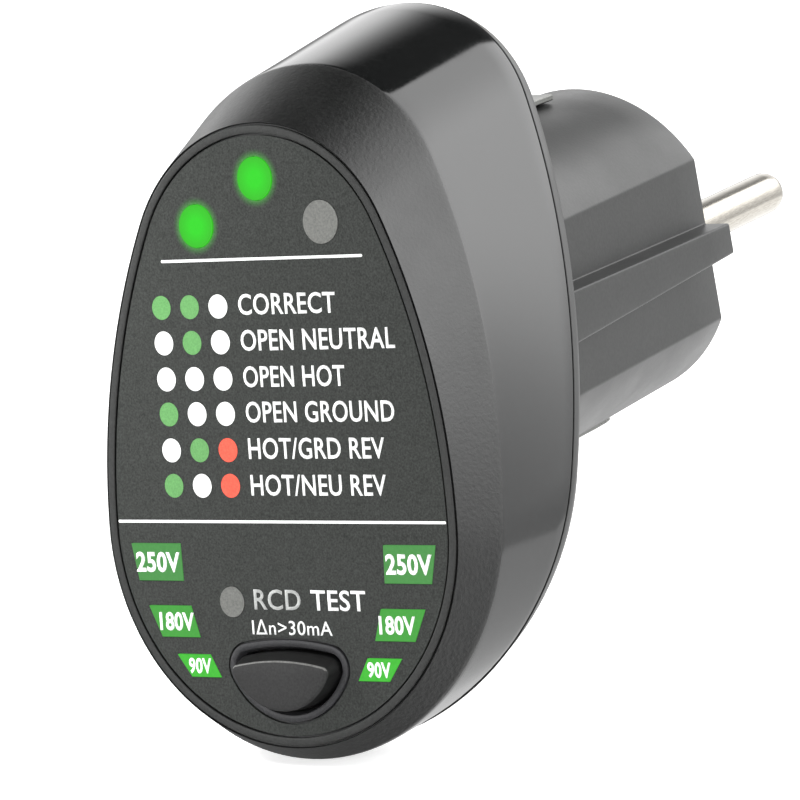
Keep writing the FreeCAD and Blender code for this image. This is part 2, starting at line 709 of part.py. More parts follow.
def make_pins():
    """Two round pins with full round tips, each held by a collar behind the carrier."""
    collar_front = "-(Dims.nose_height + Dims.plug_end_wall + 2 + Dims.fixed_gap)"
    collar_depths = (f"{collar_front} - Dims.collar_thickness", collar_front)
    for side, label in (("left", "line_pin"), ("right", "neutral_pin")):
        x = f"{SIDES[side]} * Dims.pin_spacing / 2"
        straight = "Dims.pin_length - Dims.pin_radius"
        shank = rod(f"{label}_shank", x, "0", ("Dims.pin_neck_height", straight), "Dims.pin_radius")
        neck_depths = ("-Dims.pin_root", "Dims.pin_neck_height + 1")
        neck = rod(f"{label}_neck", x, "0", neck_depths, "Dims.pin_neck_radius")
        tip = ball(f"{label}_tip", x, straight, "0", "Dims.pin_radius")
        collar = rod(f"{label}_collar", x, "0", collar_depths, "Dims.pin_radius + Dims.collar_reach")
        tail = rod(f"{label}_tail", x, "0", ("-Dims.tail_end", "1 - Dims.pin_root"), "Dims.tail_radius")
        name_piece(label, join(label, shank, neck, tip, collar, tail))


def make_earth_parts():
    """A spring strip let into the top and the bottom of the plug, and the strap that joins them."""
    half, leg_end = "Dims.clip_width / 2", "Dims.clip_leg_end"
    leg_depths = (CLIP_BACK, f"{CLIP_BACK} + Dims.clip_thickness")
    for place, sign in (("top", 1), ("bottom", -1)):
        strip_z = ["Dims.clip_reach - Dims.clip_thickness", "Dims.clip_reach"]
        leg_z = [leg_end, "Dims.clip_reach"]
        if sign < 0:
            strip_z = [f"-({item})" for item in reversed(strip_z)]
            leg_z = [f"-({item})" for item in reversed(leg_z)]
        strip = block(f"clip_strip_{place}", (f"-{half}", half), (CLIP_BACK, CLIP_FRONT), strip_z)
        leg = block(f"clip_leg_{place}", (f"-{half}", half), leg_depths, leg_z)
        name_piece(f"earth_clip_{place}", join(f"earth_clip_{place}", strip, leg))
    width = ("-Dims.strap_width / 2", "Dims.strap_width / 2")
    name_piece("earth_bridge", block("earth_bridge", width, leg_depths, (f"-{leg_end}", leg_end)))


# ------------------------------------------------------------------------------------------ electronics


def make_light_baffle():
    """The black plate between the board and the face, with one well for each lamp."""
    depths = ("Dims.baffle_front", "Dims.board_front - 0.2")
    plate = slab("baffle_plate", "label", depths, "-Dims.board_inset")
    deep = ("0", FAR_BEHIND)
    wells = lamp_rods("lamp_well", deep, "0.5") + voltage_blocks("voltage_well", deep, "0.2")
    wells += post_rods("baffle_post", deep, "Dims.post_radius + 0.1")
    wells.append(slab("baffle_button", "button", deep, "Dims.button_flange_reach + 0.8"))
    name_piece("light_baffle", in_face_frame(subtract("light_baffle", plate, join("baffle_wells", *wells))))


def make_circuit_board():
    plate = slab("board_plate", "label", ("Dims.board_front", BOARD_BACK), "-Dims.board_inset")
    holes = post_rods("board_hole", ("0", FAR_BEHIND), "Dims.board_screw_radius + 0.1")
    board = subtract("circuit_board", plate, join("board_holes", *holes))
    name_piece("circuit_board", in_face_frame(board))


def make_lamps():
    """Round lamps under the four round windows and flat ones under the six voltage windows."""
    for key, (x, z, _) in LAMPS.items():
        label = f"led_{key}"
        round_top = "Dims.board_front - Dims.lamp_height + Dims.led_radius"
        stem = rod(f"{label}_stem", x, z, (round_top, "Dims.board_front"), "Dims.led_radius")
        foot_depths = ("Dims.board_front - 1", "Dims.board_front")
        foot = rod(f"{label}_foot", x, z, foot_depths, "Dims.led_foot_radius")
        top = ball(f"{label}_top", x, round_top, z, "Dims.led_radius")
        name_piece(label, in_face_frame(join(label, stem, foot, top)))
    flat_lamps = []
    depths = ("Dims.board_front - Dims.flat_led_thickness", "Dims.board_front")
    for row in VOLTAGE_ROWS:
        for side, sign in SIDES.items():
            x, z = f"{sign} * Dims.{row}_across", f"Dims.{row}_up"
            width = (f"{x} - Dims.flat_led_width / 2", f"{x} + Dims.flat_led_width / 2")
            height = (f"{z} - Dims.flat_led_height / 2", f"{z} + Dims.flat_led_height / 2")
            flat_lamps.append(block(f"flat_lamp_{row}_{side}", width, depths, height))
    name_piece("voltage_leds", in_face_frame(group("voltage_leds", *flat_lamps)))


def make_button():
    """The half-moon cap, its retaining flange behind the front wall and the stem over the switch."""
    body = new_body("button_cap")
    flange_front = "Dims.front_wall + Dims.button_slack"
    top_edge = "Dims.button_proud - Dims.cap_chamfer"
    sections = [
        draw_oval(sketch_across(body, "cap_top", "Dims.button_proud"), "cap", "-Dims.cap_chamfer"),
        draw_oval(sketch_across(body, "cap_edge", top_edge), "cap"),
        draw_oval(sketch_across(body, "cap_shoulder", "0"), "button"),
        draw_oval(sketch_across(body, "cap_root", f"-({flange_front})"), "button"),
    ]
    loft(body, "cap_loft", sections)
    flange_back = f"{flange_front} + Dims.button_flange"
    flange = slab("button_flange_plate", "button", (flange_front, flange_back), "Dims.button_flange_reach")
    stem_end = f"{SWITCH_FRONT} - Dims.plunger_height - 0.02"
    stem = rod("button_stem", "0", "Dims.switch_up", (f"{flange_back} - 0.2", stem_end), "Dims.stem_radius")
    name_piece("rcd_button", in_face_frame(join("rcd_button", body, flange, stem)))


def make_switch():
    """The push switch on the board: a square body, the round plunger in it and the snap dome."""
    half, up = "Dims.switch_side / 2", "Dims.switch_up"
    case_z = (f"{up} - {half}", f"{up} + {half}")
    case = block("switch_case", (f"-{half}", half), (SWITCH_FRONT, "Dims.board_front"), case_z)
    well_end = "Dims.board_front - Dims.switch_floor"
    bore_radius = "Dims.plunger_radius + Dims.plunger_clearance"
    bore = rod("switch_bore", "0", up, (f"{SWITCH_FRONT} - 1", well_end), bore_radius)
    name_piece("test_switch", in_face_frame(subtract("test_switch", case, bore)))
    depths = (f"{SWITCH_FRONT} - Dims.plunger_height", f"{SWITCH_FRONT} + 0.5")
    plunger = rod("switch_plunger", "0", up, depths, "Dims.plunger_radius")
    name_piece("switch_plunger", in_face_frame(plunger))
    snap_top = f"{SWITCH_FRONT} + 0.6 + Dims.snap_radius"
    cap = ball("snap_ball", "0", snap_top, up, "Dims.snap_radius")
    hollow = ball("snap_hollow", "0", f"{snap_top} + Dims.snap_thickness", up, "Dims.snap_radius")
    room = rod("snap_room", "0", up, (SWITCH_FRONT, well_end), "Dims.plunger_radius - 0.1")
    snap = overlap("switch_dome", subtract("snap_shell", cap, hollow), room)
    name_piece("switch_dome", in_face_frame(snap))


# plain parts on the back of the board: span across, span up, and height
BOARD_BLOCKS = {
    "film_capacitor": (("0", "10"), ("12.5", "18"), "10"),
    "microcontroller": (("-3", "3"), ("-3", "2"), "1.6"),
    "bridge_rectifier": (("5", "10"), ("-7", "-2"), "2.6"),
    "trip_triac": (("-12", "-6"), ("-11", "-5"), "3"),
}
CAN_ACROSS, CAN_UP, CAN_HEIGHT, CAN_RADIUS = "-5", "14.5", "11", "4"
RESISTOR_COUNT, RESISTOR_ACROSS, RESISTOR_UP, RESISTOR_PITCH = 4, 2.5, -10.0, 3.4


def make_board_parts():
    """What the board carries on its back, away from the face."""
    for label, (x, z, height) in BOARD_BLOCKS.items():
        name_piece(label, in_face_frame(block(label, x, (BOARD_BACK, f"{BOARD_BACK} + {height}"), z)))
    can_depths = (BOARD_BACK, f"{BOARD_BACK} + {CAN_HEIGHT}")
    can = rod("smoothing_capacitor", CAN_ACROSS, CAN_UP, can_depths, CAN_RADIUS)
    name_piece("smoothing_capacitor", in_face_frame(can))
    resistors = []
    for index in range(RESISTOR_COUNT):
        resistor = doc.addObject("Part::Cylinder", f"resistor_{index}")
        resistor.Placement = FreeCAD.Placement(
            FreeCAD.Vector(RESISTOR_ACROSS, 0, RESISTOR_UP - RESISTOR_PITCH * index),
            FreeCAD.Rotation(FreeCAD.Vector(0, 1, 0), 90),
        )
        bind(resistor, Radius="Dims.resistor_radius", Height="Dims.resistor_length")
        resistors.append(bind(resistor, Placement__Base__y=f"{BOARD_BACK} + Dims.resistor_radius"))
    name_piece("resistors", in_face_frame(group("resistors", *resistors)))


# leads: place across, depth at the plug's end, and height at the plug and at the board
LEADS = {
    "line_lead": (-9.5, "-Dims.tail_end", 0, 6),
    "neutral_lead": (9.5, "-Dims.tail_end", 0, 6),
    "earth_lead": (0, CLIP_BACK, -8, -14),
}


def make_leads():
    """Insulated leads from the pins and the earth strap to the back of the board."""
    radius, bend = value("Dims.lead_radius"), value("Dims.lead_bend")
    lean = math.radians(value("Dims.face_tilt"))
    for label, (x, start, first_z, last_z) in LEADS.items():
        start_y, turn_y = value(start), -value("Dims.lead_turn")
        end_y = -value("Dims.face_depth") + value(BOARD_BACK) / math.cos(lean)
        end_y += (last_z + radius) * math.tan(lean)
        rise = 1 if last_z > first_z else -1
        # two equal arcs make the sideways step
        step = abs(last_z - first_z) / 2
        sweep = math.acos(1 - step / bend)
        reach = bend * math.sin(sweep)
        half_y, half_z = bend * math.sin(sweep / 2), bend * (1 - math.cos(sweep / 2))
        first_end = FreeCAD.Vector(x, turn_y, first_z)
        first_mid = FreeCAD.Vector(x, turn_y - half_y, first_z + rise * half_z)
        middle = FreeCAD.Vector(x, turn_y - reach, first_z + rise * step)
        second_mid = FreeCAD.Vector(x, turn_y - 2 * reach + half_y, last_z - rise * half_z)
        last_start = FreeCAD.Vector(x, turn_y - 2 * reach, last_z)
        edges = [
            Part.LineSegment(FreeCAD.Vector(x, start_y, first_z), first_end).toShape(),
            Part.Arc(first_end, first_mid, middle).toShape(),
            Part.Arc(middle, second_mid, last_start).toShape(),
            Part.LineSegment(last_start, FreeCAD.Vector(x, end_y, last_z)).toShape(),
        ]
        circle = Part.Circle(FreeCAD.Vector(x, start_y, first_z), FreeCAD.Vector(0, 1, 0), radius)
        lead = doc.addObject("Part::Feature", label)
        lead.Shape = Part.Wire(edges).makePipeShell([Part.Wire([circle.toShape()])], True, True)
        name_piece(label, lead)


# --------------------------------------------------------------------------------------------- fasteners

RECESS_SHARE, RECESS_HALF_WIDTH, RECESS_DEPTH = 0.6, 0.25, 0.7


def screw(name, x, z, head, shank, head_radius, shank_radius):
    """A pan-head screw along Y with a cross recess; head and shank are pairs of depths."""
    parts = [rod(f"{name}_head", x, z, head, head_radius), rod(f"{name}_shank", x, z, shank, shank_radius)]
    reach, slot = f"{head_radius} * {RECESS_SHARE}", RECESS_HALF_WIDTH
    outer = (f"{head[1]} - {RECESS_DEPTH}", f"{head[1]} + 1")
    long_x, short_x = (f"{x} - {reach}", f"{x} + {reach}"), (f"{x} - {slot}", f"{x} + {slot}")
    long_z, short_z = (f"{z} - {reach}", f"{z} + {reach}"), (f"{z} - {slot}", f"{z} + {slot}")
    cross = [
        block(f"{name}_slot_wide", long_x, outer, short_z),
        block(f"{name}_slot_tall", short_x, outer, long_z),
    ]
    return subtract(name, join(f"{name}_solid", *parts), join(f"{name}_recess", *cross))


def make_screws():
    case_head = ("Dims.screw_floor", "Dims.screw_floor + Dims.screw_head_height")
    case_shank = ("-4.5", "Dims.screw_floor + 0.1")
    board_head = (BOARD_BACK, f"{BOARD_BACK} + Dims.board_screw_head_height")
    board_shank = ("4", f"{BOARD_BACK} + 0.1")
    case_screws = []
    board_screws = []
    for side, sign in SIDES.items():
        for level in ("upper", "lower"):
            x, z = f"{sign} * Dims.boss_{level}_across", f"Dims.boss_{level}_up"
            radii = ("Dims.screw_head_radius", "Dims.screw_shank_radius")
            case_screws.append(screw(f"case_{level}_{side}", x, z, case_head, case_shank, *radii))
        x = f"{sign} * Dims.post_across"
        radii = ("Dims.board_screw_head_radius", "Dims.board_screw_radius")
        board_screws.append(screw(f"board_{side}", x, "Dims.post_up", board_head, board_shank, *radii))
    name_piece("case_screws", in_back_frame(group("case_screws", *case_screws)))
    name_piece("board_screws", in_face_frame(group("board_screws", *board_screws)))


# --------------------------------------------------------------------------------------------- assembly

make_front_shell()
make_label()
make_windows()
make_rear_cover()
make_plug_shell()
make_pin_carrier()
make_pins()
make_earth_parts()
make_light_baffle()
make_circuit_board()
make_lamps()
make_button()
make_switch()
make_board_parts()
make_leads()
make_screws()
doc.recompute()

faults = [thing.Name for thing in doc.Objects if {"Invalid", "Error"} & set(thing.State)]
faults += [label for label, thing in pieces.items() if thing.Shape.isNull() or not thing.Shape.isValid()]
faults += [label for label, thing in pieces.items() if not thing.Shape.Solids]
if faults:
    raise SystemExit(f"these objects failed: {faults}")

os.makedirs("parts", exist_ok=True)
for label, thing in pieces.items():
    thing.Shape.exportStep(f"parts/{label}.step")
    print(f"{label:26s} solids {len(thing.Shape.Solids)} volume {thing.Shape.Volume:9.1f} mm3")
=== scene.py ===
import math

import bmesh
import bpy
import numpy as np
from mathutils import Matrix, Vector


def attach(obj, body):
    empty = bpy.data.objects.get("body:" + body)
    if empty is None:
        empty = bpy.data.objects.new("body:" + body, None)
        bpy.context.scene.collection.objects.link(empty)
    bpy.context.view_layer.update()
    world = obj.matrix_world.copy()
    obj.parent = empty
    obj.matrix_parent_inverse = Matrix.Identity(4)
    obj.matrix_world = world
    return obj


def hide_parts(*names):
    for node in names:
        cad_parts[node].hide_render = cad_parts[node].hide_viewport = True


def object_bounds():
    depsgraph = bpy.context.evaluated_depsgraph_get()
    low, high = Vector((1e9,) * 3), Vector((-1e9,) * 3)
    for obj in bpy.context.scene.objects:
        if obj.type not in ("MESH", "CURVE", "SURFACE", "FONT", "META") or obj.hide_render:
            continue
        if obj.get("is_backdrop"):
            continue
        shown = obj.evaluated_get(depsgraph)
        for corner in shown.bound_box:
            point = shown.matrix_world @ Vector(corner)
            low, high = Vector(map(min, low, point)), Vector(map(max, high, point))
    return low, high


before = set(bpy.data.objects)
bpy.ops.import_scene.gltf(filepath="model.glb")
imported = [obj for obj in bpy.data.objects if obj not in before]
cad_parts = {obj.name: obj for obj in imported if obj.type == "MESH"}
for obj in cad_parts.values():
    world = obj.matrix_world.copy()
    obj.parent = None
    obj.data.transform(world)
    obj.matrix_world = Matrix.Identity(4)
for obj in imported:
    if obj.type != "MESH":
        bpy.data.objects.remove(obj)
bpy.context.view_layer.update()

# Looks of the outlet tester plug. Shapes are worked out in millimetres and turned into metres when
# their meshes are made. The head has three leaning planes: its face, its shoulder, and the parting
# of its two shells. A point of a plane is given by its height and side along the plane, and by how
# far it stands out from it.

MM = 0.001

# (distance in front of the origin, backward lean in degrees)
FACE = (66.1, 10.6)
SHOULDER_PLANE = (59.5, 15.5)
PARTING_PLANE = (47.8, 25.6)

# (height of top centre, top radius, height of low centre, low radius, side radius)
LABEL = (10.9, 16.6, -14.0, 22.2, 74.0)
SHOULDER = (14.0, 19.4, -14.9, 25.7, 84.0)
PARTING = (18.4, 19.7, -14.7, 28.1, 97.0)
BUTTON = (-57.2, 30.0, -26.1, 7.4, 1.2)
CAP = (-57.95, 30.0, -26.2, 7.2, 0.7)

EGG_STEPS = (56, 44, 60, 44)
HALF_MOON_STEPS = (36, 12, 36, 12)

# (side, height, radius)
LAMPS = {
    "left": (-8.4, 18.15, 2.3),
    "top": (0.0, 22.95, 2.3),
    "right": (8.4, 18.15, 2.3),
    "trip": (-7.1, -22.0, 1.65),
}
# (side, height, width at the top, height of the window, how far its top leans outwards)
VOLTS = {
    "250": (16.9, -17.8, 6.8, 4.0, 0.45),
    "180": (15.1, -24.2, 5.8, 3.35, 1.3),
    "90": (12.1, -28.95, 4.5, 2.4, 1.6),
}
SIDES = {"left": -1, "right": 1}


# ------------------------------------------------------------------------------------- mesh helpers


def oval(outline, grow=0.0, steps=EGG_STEPS):
    """Points of a closed outline of four tangent arcs, grown by a margin."""
    top_z, top_r, low_z, low_r, side_r = outline
    top_r, low_r, side_r = top_r + grow, low_r + grow, side_r + grow
    sign = -1 if side_r > top_r else 1
    to_top, to_low, apart = abs(side_r - top_r), abs(side_r - low_r), top_z - low_z
    along = (to_low**2 - to_top**2 + apart**2) / (2 * apart)
    side_x, side_z = sign * math.sqrt(to_low**2 - along**2), low_z + along
    top_end = math.atan2(sign * (side_z - top_z), sign * side_x)
    low_end = math.atan2(sign * (side_z - low_z), sign * side_x)
    arcs = (
        (0, top_z, top_r, top_end, math.pi - top_end),
        (-side_x, side_z, side_r, math.pi - top_end, math.pi - low_end),
        (0, low_z, low_r, math.pi - low_end, 2 * math.pi + low_end),
        (side_x, side_z, side_r, low_end, top_end),
    )
    points = []
    for (x, z, radius, start, end), count in zip(arcs, steps):
        for step in range(count):
            turn = start + (end - start) * step / count
            points.append((x + radius * math.cos(turn), z + radius * math.sin(turn)))
    return np.array(points)


def circle(x, z, radius, steps=64):
    turns = np.linspace(0, 2 * math.pi, steps, endpoint=False)
    return np.stack([x + radius * np.cos(turns), z + radius * np.sin(turns)], 1)


def stand(plane, points, out=0.0):
    """Carry points of a leaning plane to the frame, standing out from it."""
    depth, tilt = plane
    lean = math.radians(tilt)
    up = points[:, 1]
    return np.stack(
        [
            points[:, 0],
            -depth + up * math.sin(lean) - out * math.cos(lean),
            up * math.cos(lean) + out * math.sin(lean),
        ],
        1,
    )


def across(points, y):
    """Points of an outline square to the pins, at one depth or at a depth for each point."""
    return np.stack([points[:, 0], np.broadcast_to(y, len(points)), points[:, 1]], 1)


def add_object(name, mesh):
    thing = bpy.data.objects.new(name, mesh)
    bpy.context.scene.collection.objects.link(thing)
    return thing


def mesh_from(name, build):
    """An object from a function that fills a bmesh given in millimetres."""
    bm = bmesh.new()
    build(bm)
    bmesh.ops.remove_doubles(bm, verts=bm.verts, dist=1e-5)
    bmesh.ops.recalc_face_normals(bm, faces=bm.faces)
    bmesh.ops.scale(bm, vec=Vector((MM, MM, MM)), verts=bm.verts)
    mesh = bpy.data.meshes.new(name)
    bm.to_mesh(mesh)
    bm.free()
    return add_object(name, mesh)


def add_skin(bm, rings, caps=True, loop=False):
    """Faces between rings of equal length, with the first and last filled in or joined."""
    rows = [[bm.verts.new(tuple(map(float, point))) for point in ring] for ring in rings]
    pairs = list(zip(rows, rows[1:]))
    if loop:
        pairs.append((rows[-1], rows[0]))
    for one, two in pairs:
        for i in range(len(one)):
            j = (i + 1) % len(one)
            bm.faces.new((one[i], one[j], two[j], two[i]))
    if caps and not loop:
        bm.faces.new(rows[0])
        bm.faces.new(rows[-1])


def skin(name, rings, loop=False):
    return mesh_from(name, lambda bm: add_skin(bm, rings, loop=loop))


def bend(before, corner, after, size, steps=4):
    """Rings that round a crease between three rings."""
    start = before - corner
    end = after - corner
    start = corner + start / np.linalg.norm(start, axis=1, keepdims=True) * size
    end = corner + end / np.linalg.norm(end, axis=1, keepdims=True) * size
    rings = []
    for t in np.linspace(0, 1, steps + 1):
        rings.append(start * (1 - t) ** 2 + corner * 2 * t * (1 - t) + end * t**2)
    return rings


def baked(thing):
    """Replace the mesh by what its modifiers make of it."""
    graph = bpy.context.evaluated_depsgraph_get()
    graph.update()
    mesh = bpy.data.meshes.new_from_object(thing.evaluated_get(graph))
    thing.modifiers.clear()
    thing.data = mesh
    return thing


def combine(thing, operation, tools):
    """Add solid tools to a solid piece or take them out of it."""
    for index, tool in enumerate(tools):
        step = thing.modifiers.new(f"{operation.lower()}_{index}", "BOOLEAN")
        step.operation = operation
        step.solver = "EXACT"
        step.object = tool
    baked(thing)
    for tool in tools:
        bpy.data.objects.remove(tool)
    return thing


def cut(thing, *tools):
    return combine(thing, "DIFFERENCE", tools)


def fuse(thing, *tools):
    return combine(thing, "UNION", tools)


def smooth(thing, angle=30):
    thing.data.shade_smooth()
    thing.data.set_sharp_from_angle(angle=math.radians(angle))
    return thing


# ---------------------------------------------------------------------------------------- materials


def new_material(name):
    material = bpy.data.materials.new(name)
    material.use_nodes = True
    nodes, links = material.node_tree.nodes, material.node_tree.links
    return material, nodes, links, nodes["Principled BSDF"]


def srgb(red, green, blue):
    """A colour given in 0 to 255 steps, as the linear values that shaders use."""
    out = []
    for part in (red, green, blue):
        part /= 255
        out.append(part / 12.92 if part <= 0.04045 else ((part + 0.055) / 1.055) ** 2.4)
    return (*out, 1)


def noise(nodes, links, place, size_mm, detail=3.0, rough=0.55, stretch=None):
    """Noise whose lumps are about a size across."""
    node = nodes.new("ShaderNodeTexNoise")
    node.inputs["Scale"].default_value = 1 / (size_mm * MM)
    node.inputs["Detail"].default_value = detail
    node.inputs["Roughness"].default_value = rough
    if stretch:
        mapping = nodes.new("ShaderNodeMapping")
        mapping.inputs["Scale"].default_value = stretch
        links.new(place, mapping.inputs["Vector"])
        place = mapping.outputs["Vector"]
    links.new(place, node.inputs["Vector"])
    return node.outputs["Fac"]


def spread(nodes, links, factor, low, high, low_in=0.3, high_in=0.7):
    """Turn noise into a number between two values."""
    node = nodes.new("ShaderNodeMapRange")
    node.inputs["From Min"].default_value = low_in
    node.inputs["From Max"].default_value = high_in
    node.inputs["To Min"].default_value = low
    node.inputs["To Max"].default_value = high
    links.new(factor, node.inputs["Value"])
    return node.outputs["Result"]


def tint(nodes, links, factor, dark, light):
    """Turn noise into a colour between two colours."""
    node = nodes.new("ShaderNodeMix")
    node.data_type = "RGBA"
    node.inputs["A"].default_value = dark
    node.inputs["B"].default_value = light
    links.new(spread(nodes, links, factor, 0, 1), node.inputs["Factor"])
    return node.outputs["Result"]


def bump(nodes, links, shader, height, depth_mm, strength=1.0, after=None):
    node = nodes.new("ShaderNodeBump")
    node.inputs["Strength"].default_value = strength
    node.inputs["Distance"].default_value = depth_mm * MM
    links.new(height, node.inputs["Height"])
    if after:
        links.new(after, node.inputs["Normal"])
    links.new(node.outputs["Normal"], shader.inputs["Normal"])
    return node.outputs["Normal"]


PATCH_GRAIN_SHARE = 0.35


def surface(
    name, dark, light, rough, grain_mm, grain_depth, metal=0.0, patch_mm=9.0, ior=1.5, stretch=None
):
    """A finish with fine grain and slow changes of gloss over it."""
    material, nodes, links, shader = new_material(name)
    place = nodes.new("ShaderNodeTexCoord").outputs["Object"]
    grain = noise(nodes, links, place, grain_mm, stretch=stretch)
    patches = noise(nodes, links, place, patch_mm, detail=4.0, rough=0.6)
    links.new(tint(nodes, links, grain, srgb(*dark), srgb(*light)), shader.inputs["Base Color"])
    both = nodes.new("ShaderNodeMath")
    both.operation = "MULTIPLY_ADD"
    both.inputs[1].default_value = PATCH_GRAIN_SHARE
    links.new(grain, both.inputs[0])
    links.new(spread(nodes, links, patches, 0.15, 0.5), both.inputs[2])
    links.new(spread(nodes, links, both.outputs[0], *rough), shader.inputs["Roughness"])
    bump(nodes, links, shader, grain, grain_depth)
    shader.inputs["Metallic"].default_value = metal
    shader.inputs["IOR"].default_value = ior
    return material


def glowing(name, edge, core, strength, radius_mm=None, centre=None):
    """A translucent window lit from behind; with a centre, it is brighter towards its middle."""
    material, nodes, links, shader = new_material(name)
    place = nodes.new("ShaderNodeTexCoord").outputs["Object"]
    grain = noise(nodes, links, place, 0.35)
    if centre is None:
        factor = grain
    else:
        distance = nodes.new("ShaderNodeVectorMath")
        distance.operation = "DISTANCE"
        distance.inputs[1].default_value = centre
        links.new(place, distance.inputs[0])
        reach = radius_mm * MM
        factor = spread(nodes, links, distance.outputs["Value"], 1, 0, 0.35 * reach, 1.05 * reach)
    colour = nodes.new("ShaderNodeMix")
    colour.data_type = "RGBA"
    colour.inputs["A"].default_value = edge
    colour.inputs["B"].default_value = core
    links.new(factor, colour.inputs["Factor"])
    links.new(colour.outputs["Result"], shader.inputs["Emission Color"])
    shader.inputs["Emission Strength"].default_value = strength
    unlit = tint(nodes, links, grain, srgb(10, 34, 8), srgb(16, 46, 12))
    links.new(unlit, shader.inputs["Base Color"])
    shader.inputs["Roughness"].default_value = 0.5
    bump(nodes, links, shader, grain, 0.01)
    return material


GLOW_COLOUR = (60, 190, 40)
GLOW_REACH, GLOW_POWER, GLOW_STRENGTH = 1.0, 2.2, 0.55


def label_material():
    """A matt printed film with a fine speckle, lit green round the two lamps that are on."""
    material = surface(
        "label_film", (43, 45, 43), (66, 68, 66), (0.5, 0.7), 0.22, 0.012, patch_mm=14, ior=1.25
    )
    nodes, links = material.node_tree.nodes, material.node_tree.links
    shader = nodes["Principled BSDF"]
    place = nodes.new("ShaderNodeTexCoord").outputs["Object"]
    total = None
    for key in ("left", "top"):
        x, z, radius = LAMPS[key]
        centre = stand(FACE, np.array([[x, z]]))[0] * MM
        distance = nodes.new("ShaderNodeVectorMath")
        distance.operation = "DISTANCE"
        distance.inputs[1].default_value = tuple(centre)
        links.new(place, distance.inputs[0])
        reach = (radius + GLOW_REACH) * MM
        fade = spread(nodes, links, distance.outputs["Value"], 1, 0, radius * MM, reach)
        power = nodes.new("ShaderNodeMath")
        power.operation = "POWER"
        power.inputs[1].default_value = GLOW_POWER
        links.new(fade, power.inputs[0])
        if total is None:
            total = power.outputs[0]
        else:
            add = nodes.new("ShaderNodeMath")
            links.new(total, add.inputs[0])
            links.new(power.outputs[0], add.inputs[1])
            total = add.outputs[0]
    shader.inputs["Emission Color"].default_value = srgb(*GLOW_COLOUR)
    glow = spread(nodes, links, total, 0, GLOW_STRENGTH, 0, 1)
    links.new(glow, shader.inputs["Emission Strength"])
    return material


# colours in 0 to 255 steps, roughness range, grain size and grain depth
BLACK_GLOSS = surface(
    "shell_gloss", (16, 17, 17), (24, 25, 25), (0.06, 0.13), 0.5, 0.0008, patch_mm=12, ior=1.72
)
BLACK_GRAIN = surface(
    "shell_grain", (13, 14, 14), (26, 27, 26), (0.34, 0.46), 0.42, 0.034, patch_mm=10, ior=1.72
)
RIM_SATIN = surface("rim_satin", (40, 41, 40), (56, 57, 56), (0.4, 0.55), 0.25, 0.006)
COVER_SATIN = surface("cover_satin", (20, 21, 21), (36, 37, 36), (0.34, 0.5), 0.3, 0.008, ior=1.72)
PLUG_SATIN = surface("plug_satin", (24, 25, 25), (40, 41, 40), (0.34, 0.46), 0.35, 0.01, ior=1.58)
CARRIER_BLACK = surface("carrier_black", (18, 18, 18), (30, 30, 30), (0.45, 0.6), 0.3, 0.01)
BUTTON_MATT = surface("button_matt", (38, 38, 38), (52, 52, 52), (0.48, 0.62), 0.25, 0.006)
# light grey for the upward-facing part of the cap's rounded edge: a painted highlight
BUTTON_EDGE_PAINTED_HIGHLIGHT = surface("button_edge_painted_highlight", (96, 96, 94), (124, 124, 122), (0.4, 0.55), 0.25, 0.004)
BEZEL_SATIN = surface("bezel_satin", (44, 44, 46), (60, 60, 62), (0.34, 0.46), 0.25, 0.004)
NICKEL = surface(
    "nickel", (160, 156, 148), (178, 174, 166), (0.14, 0.24), 0.12, 0.0015,
    metal=1.0, stretch=(1, 0.12, 1),
)
SPRING_STEEL = surface(
    "spring_steel", (104, 105, 103), (140, 141, 138), (0.25, 0.42), 0.15, 0.002,
    metal=1.0, stretch=(0.15, 1, 1),
)
ZINC = surface("zinc", (140, 142, 140), (182, 184, 180), (0.3, 0.5), 0.2, 0.003, metal=1.0)
BRASS = surface("brass_strap", (196, 164, 96), (220, 190, 124), (0.3, 0.5), 0.2, 0.003, metal=1.0)
INK_WHITE = surface("ink_white", (236, 238, 236), (250, 251, 250), (0.4, 0.55), 0.2, 0.003)
INK_GREY = surface("ink_grey", (160, 162, 160), (186, 188, 186), (0.4, 0.55), 0.2, 0.003)
INK_GREEN = surface("ink_green", (84, 140, 78), (100, 160, 92), (0.4, 0.55), 0.2, 0.003)
INK_RED = surface("ink_red", (224, 74, 54), (240, 92, 70), (0.4, 0.55), 0.2, 0.003)
LENS_GREY = surface("lens_grey", (92, 93, 90), (116, 117, 113), (0.3, 0.45), 0.25, 0.006)
BOARD_GREEN = surface("board_green", (14, 62, 34), (22, 84, 46), (0.3, 0.45), 0.8, 0.01)
# black of the light baffle; also put on the button cap's sides as painted shade of the well
BAFFLE_BLACK_AND_PAINTED_SHADE = surface("baffle_black_and_painted_shade", (16, 16, 16), (28, 28, 28), (0.5, 0.7), 0.3, 0.01)
CHIP_BLACK = surface("chip_black", (22, 22, 24), (36, 36, 38), (0.45, 0.6), 0.15, 0.004)
FILM_RED = surface("film_red", (150, 40, 28), (176, 54, 38), (0.3, 0.45), 0.4, 0.004)
CAN_SLEEVE = surface("can_sleeve", (24, 30, 60), (34, 42, 78), (0.3, 0.45), 0.4, 0.004)
RESISTOR_BLUE = surface("resistor_blue", (90, 140, 170), (120, 168, 196), (0.35, 0.5), 0.4, 0.006)
SWITCH_BLACK = surface("switch_black", (24, 24, 25), (40, 40, 42), (0.35, 0.5), 0.3, 0.004)
LEAD_BROWN = surface("lead_brown", (84, 46, 26), (104, 60, 36), (0.4, 0.55), 0.4, 0.004)
LEAD_BLUE = surface("lead_blue", (30, 70, 140), (44, 90, 166), (0.4, 0.55), 0.4, 0.004)
LEAD_GREEN = surface("lead_green", (60, 130, 50), (190, 190, 50), (0.4, 0.55), 3.0, 0.004)
LED_CLEAR = surface("led_clear", (150, 160, 150), (176, 186, 176), (0.1, 0.2), 0.5, 0.002)


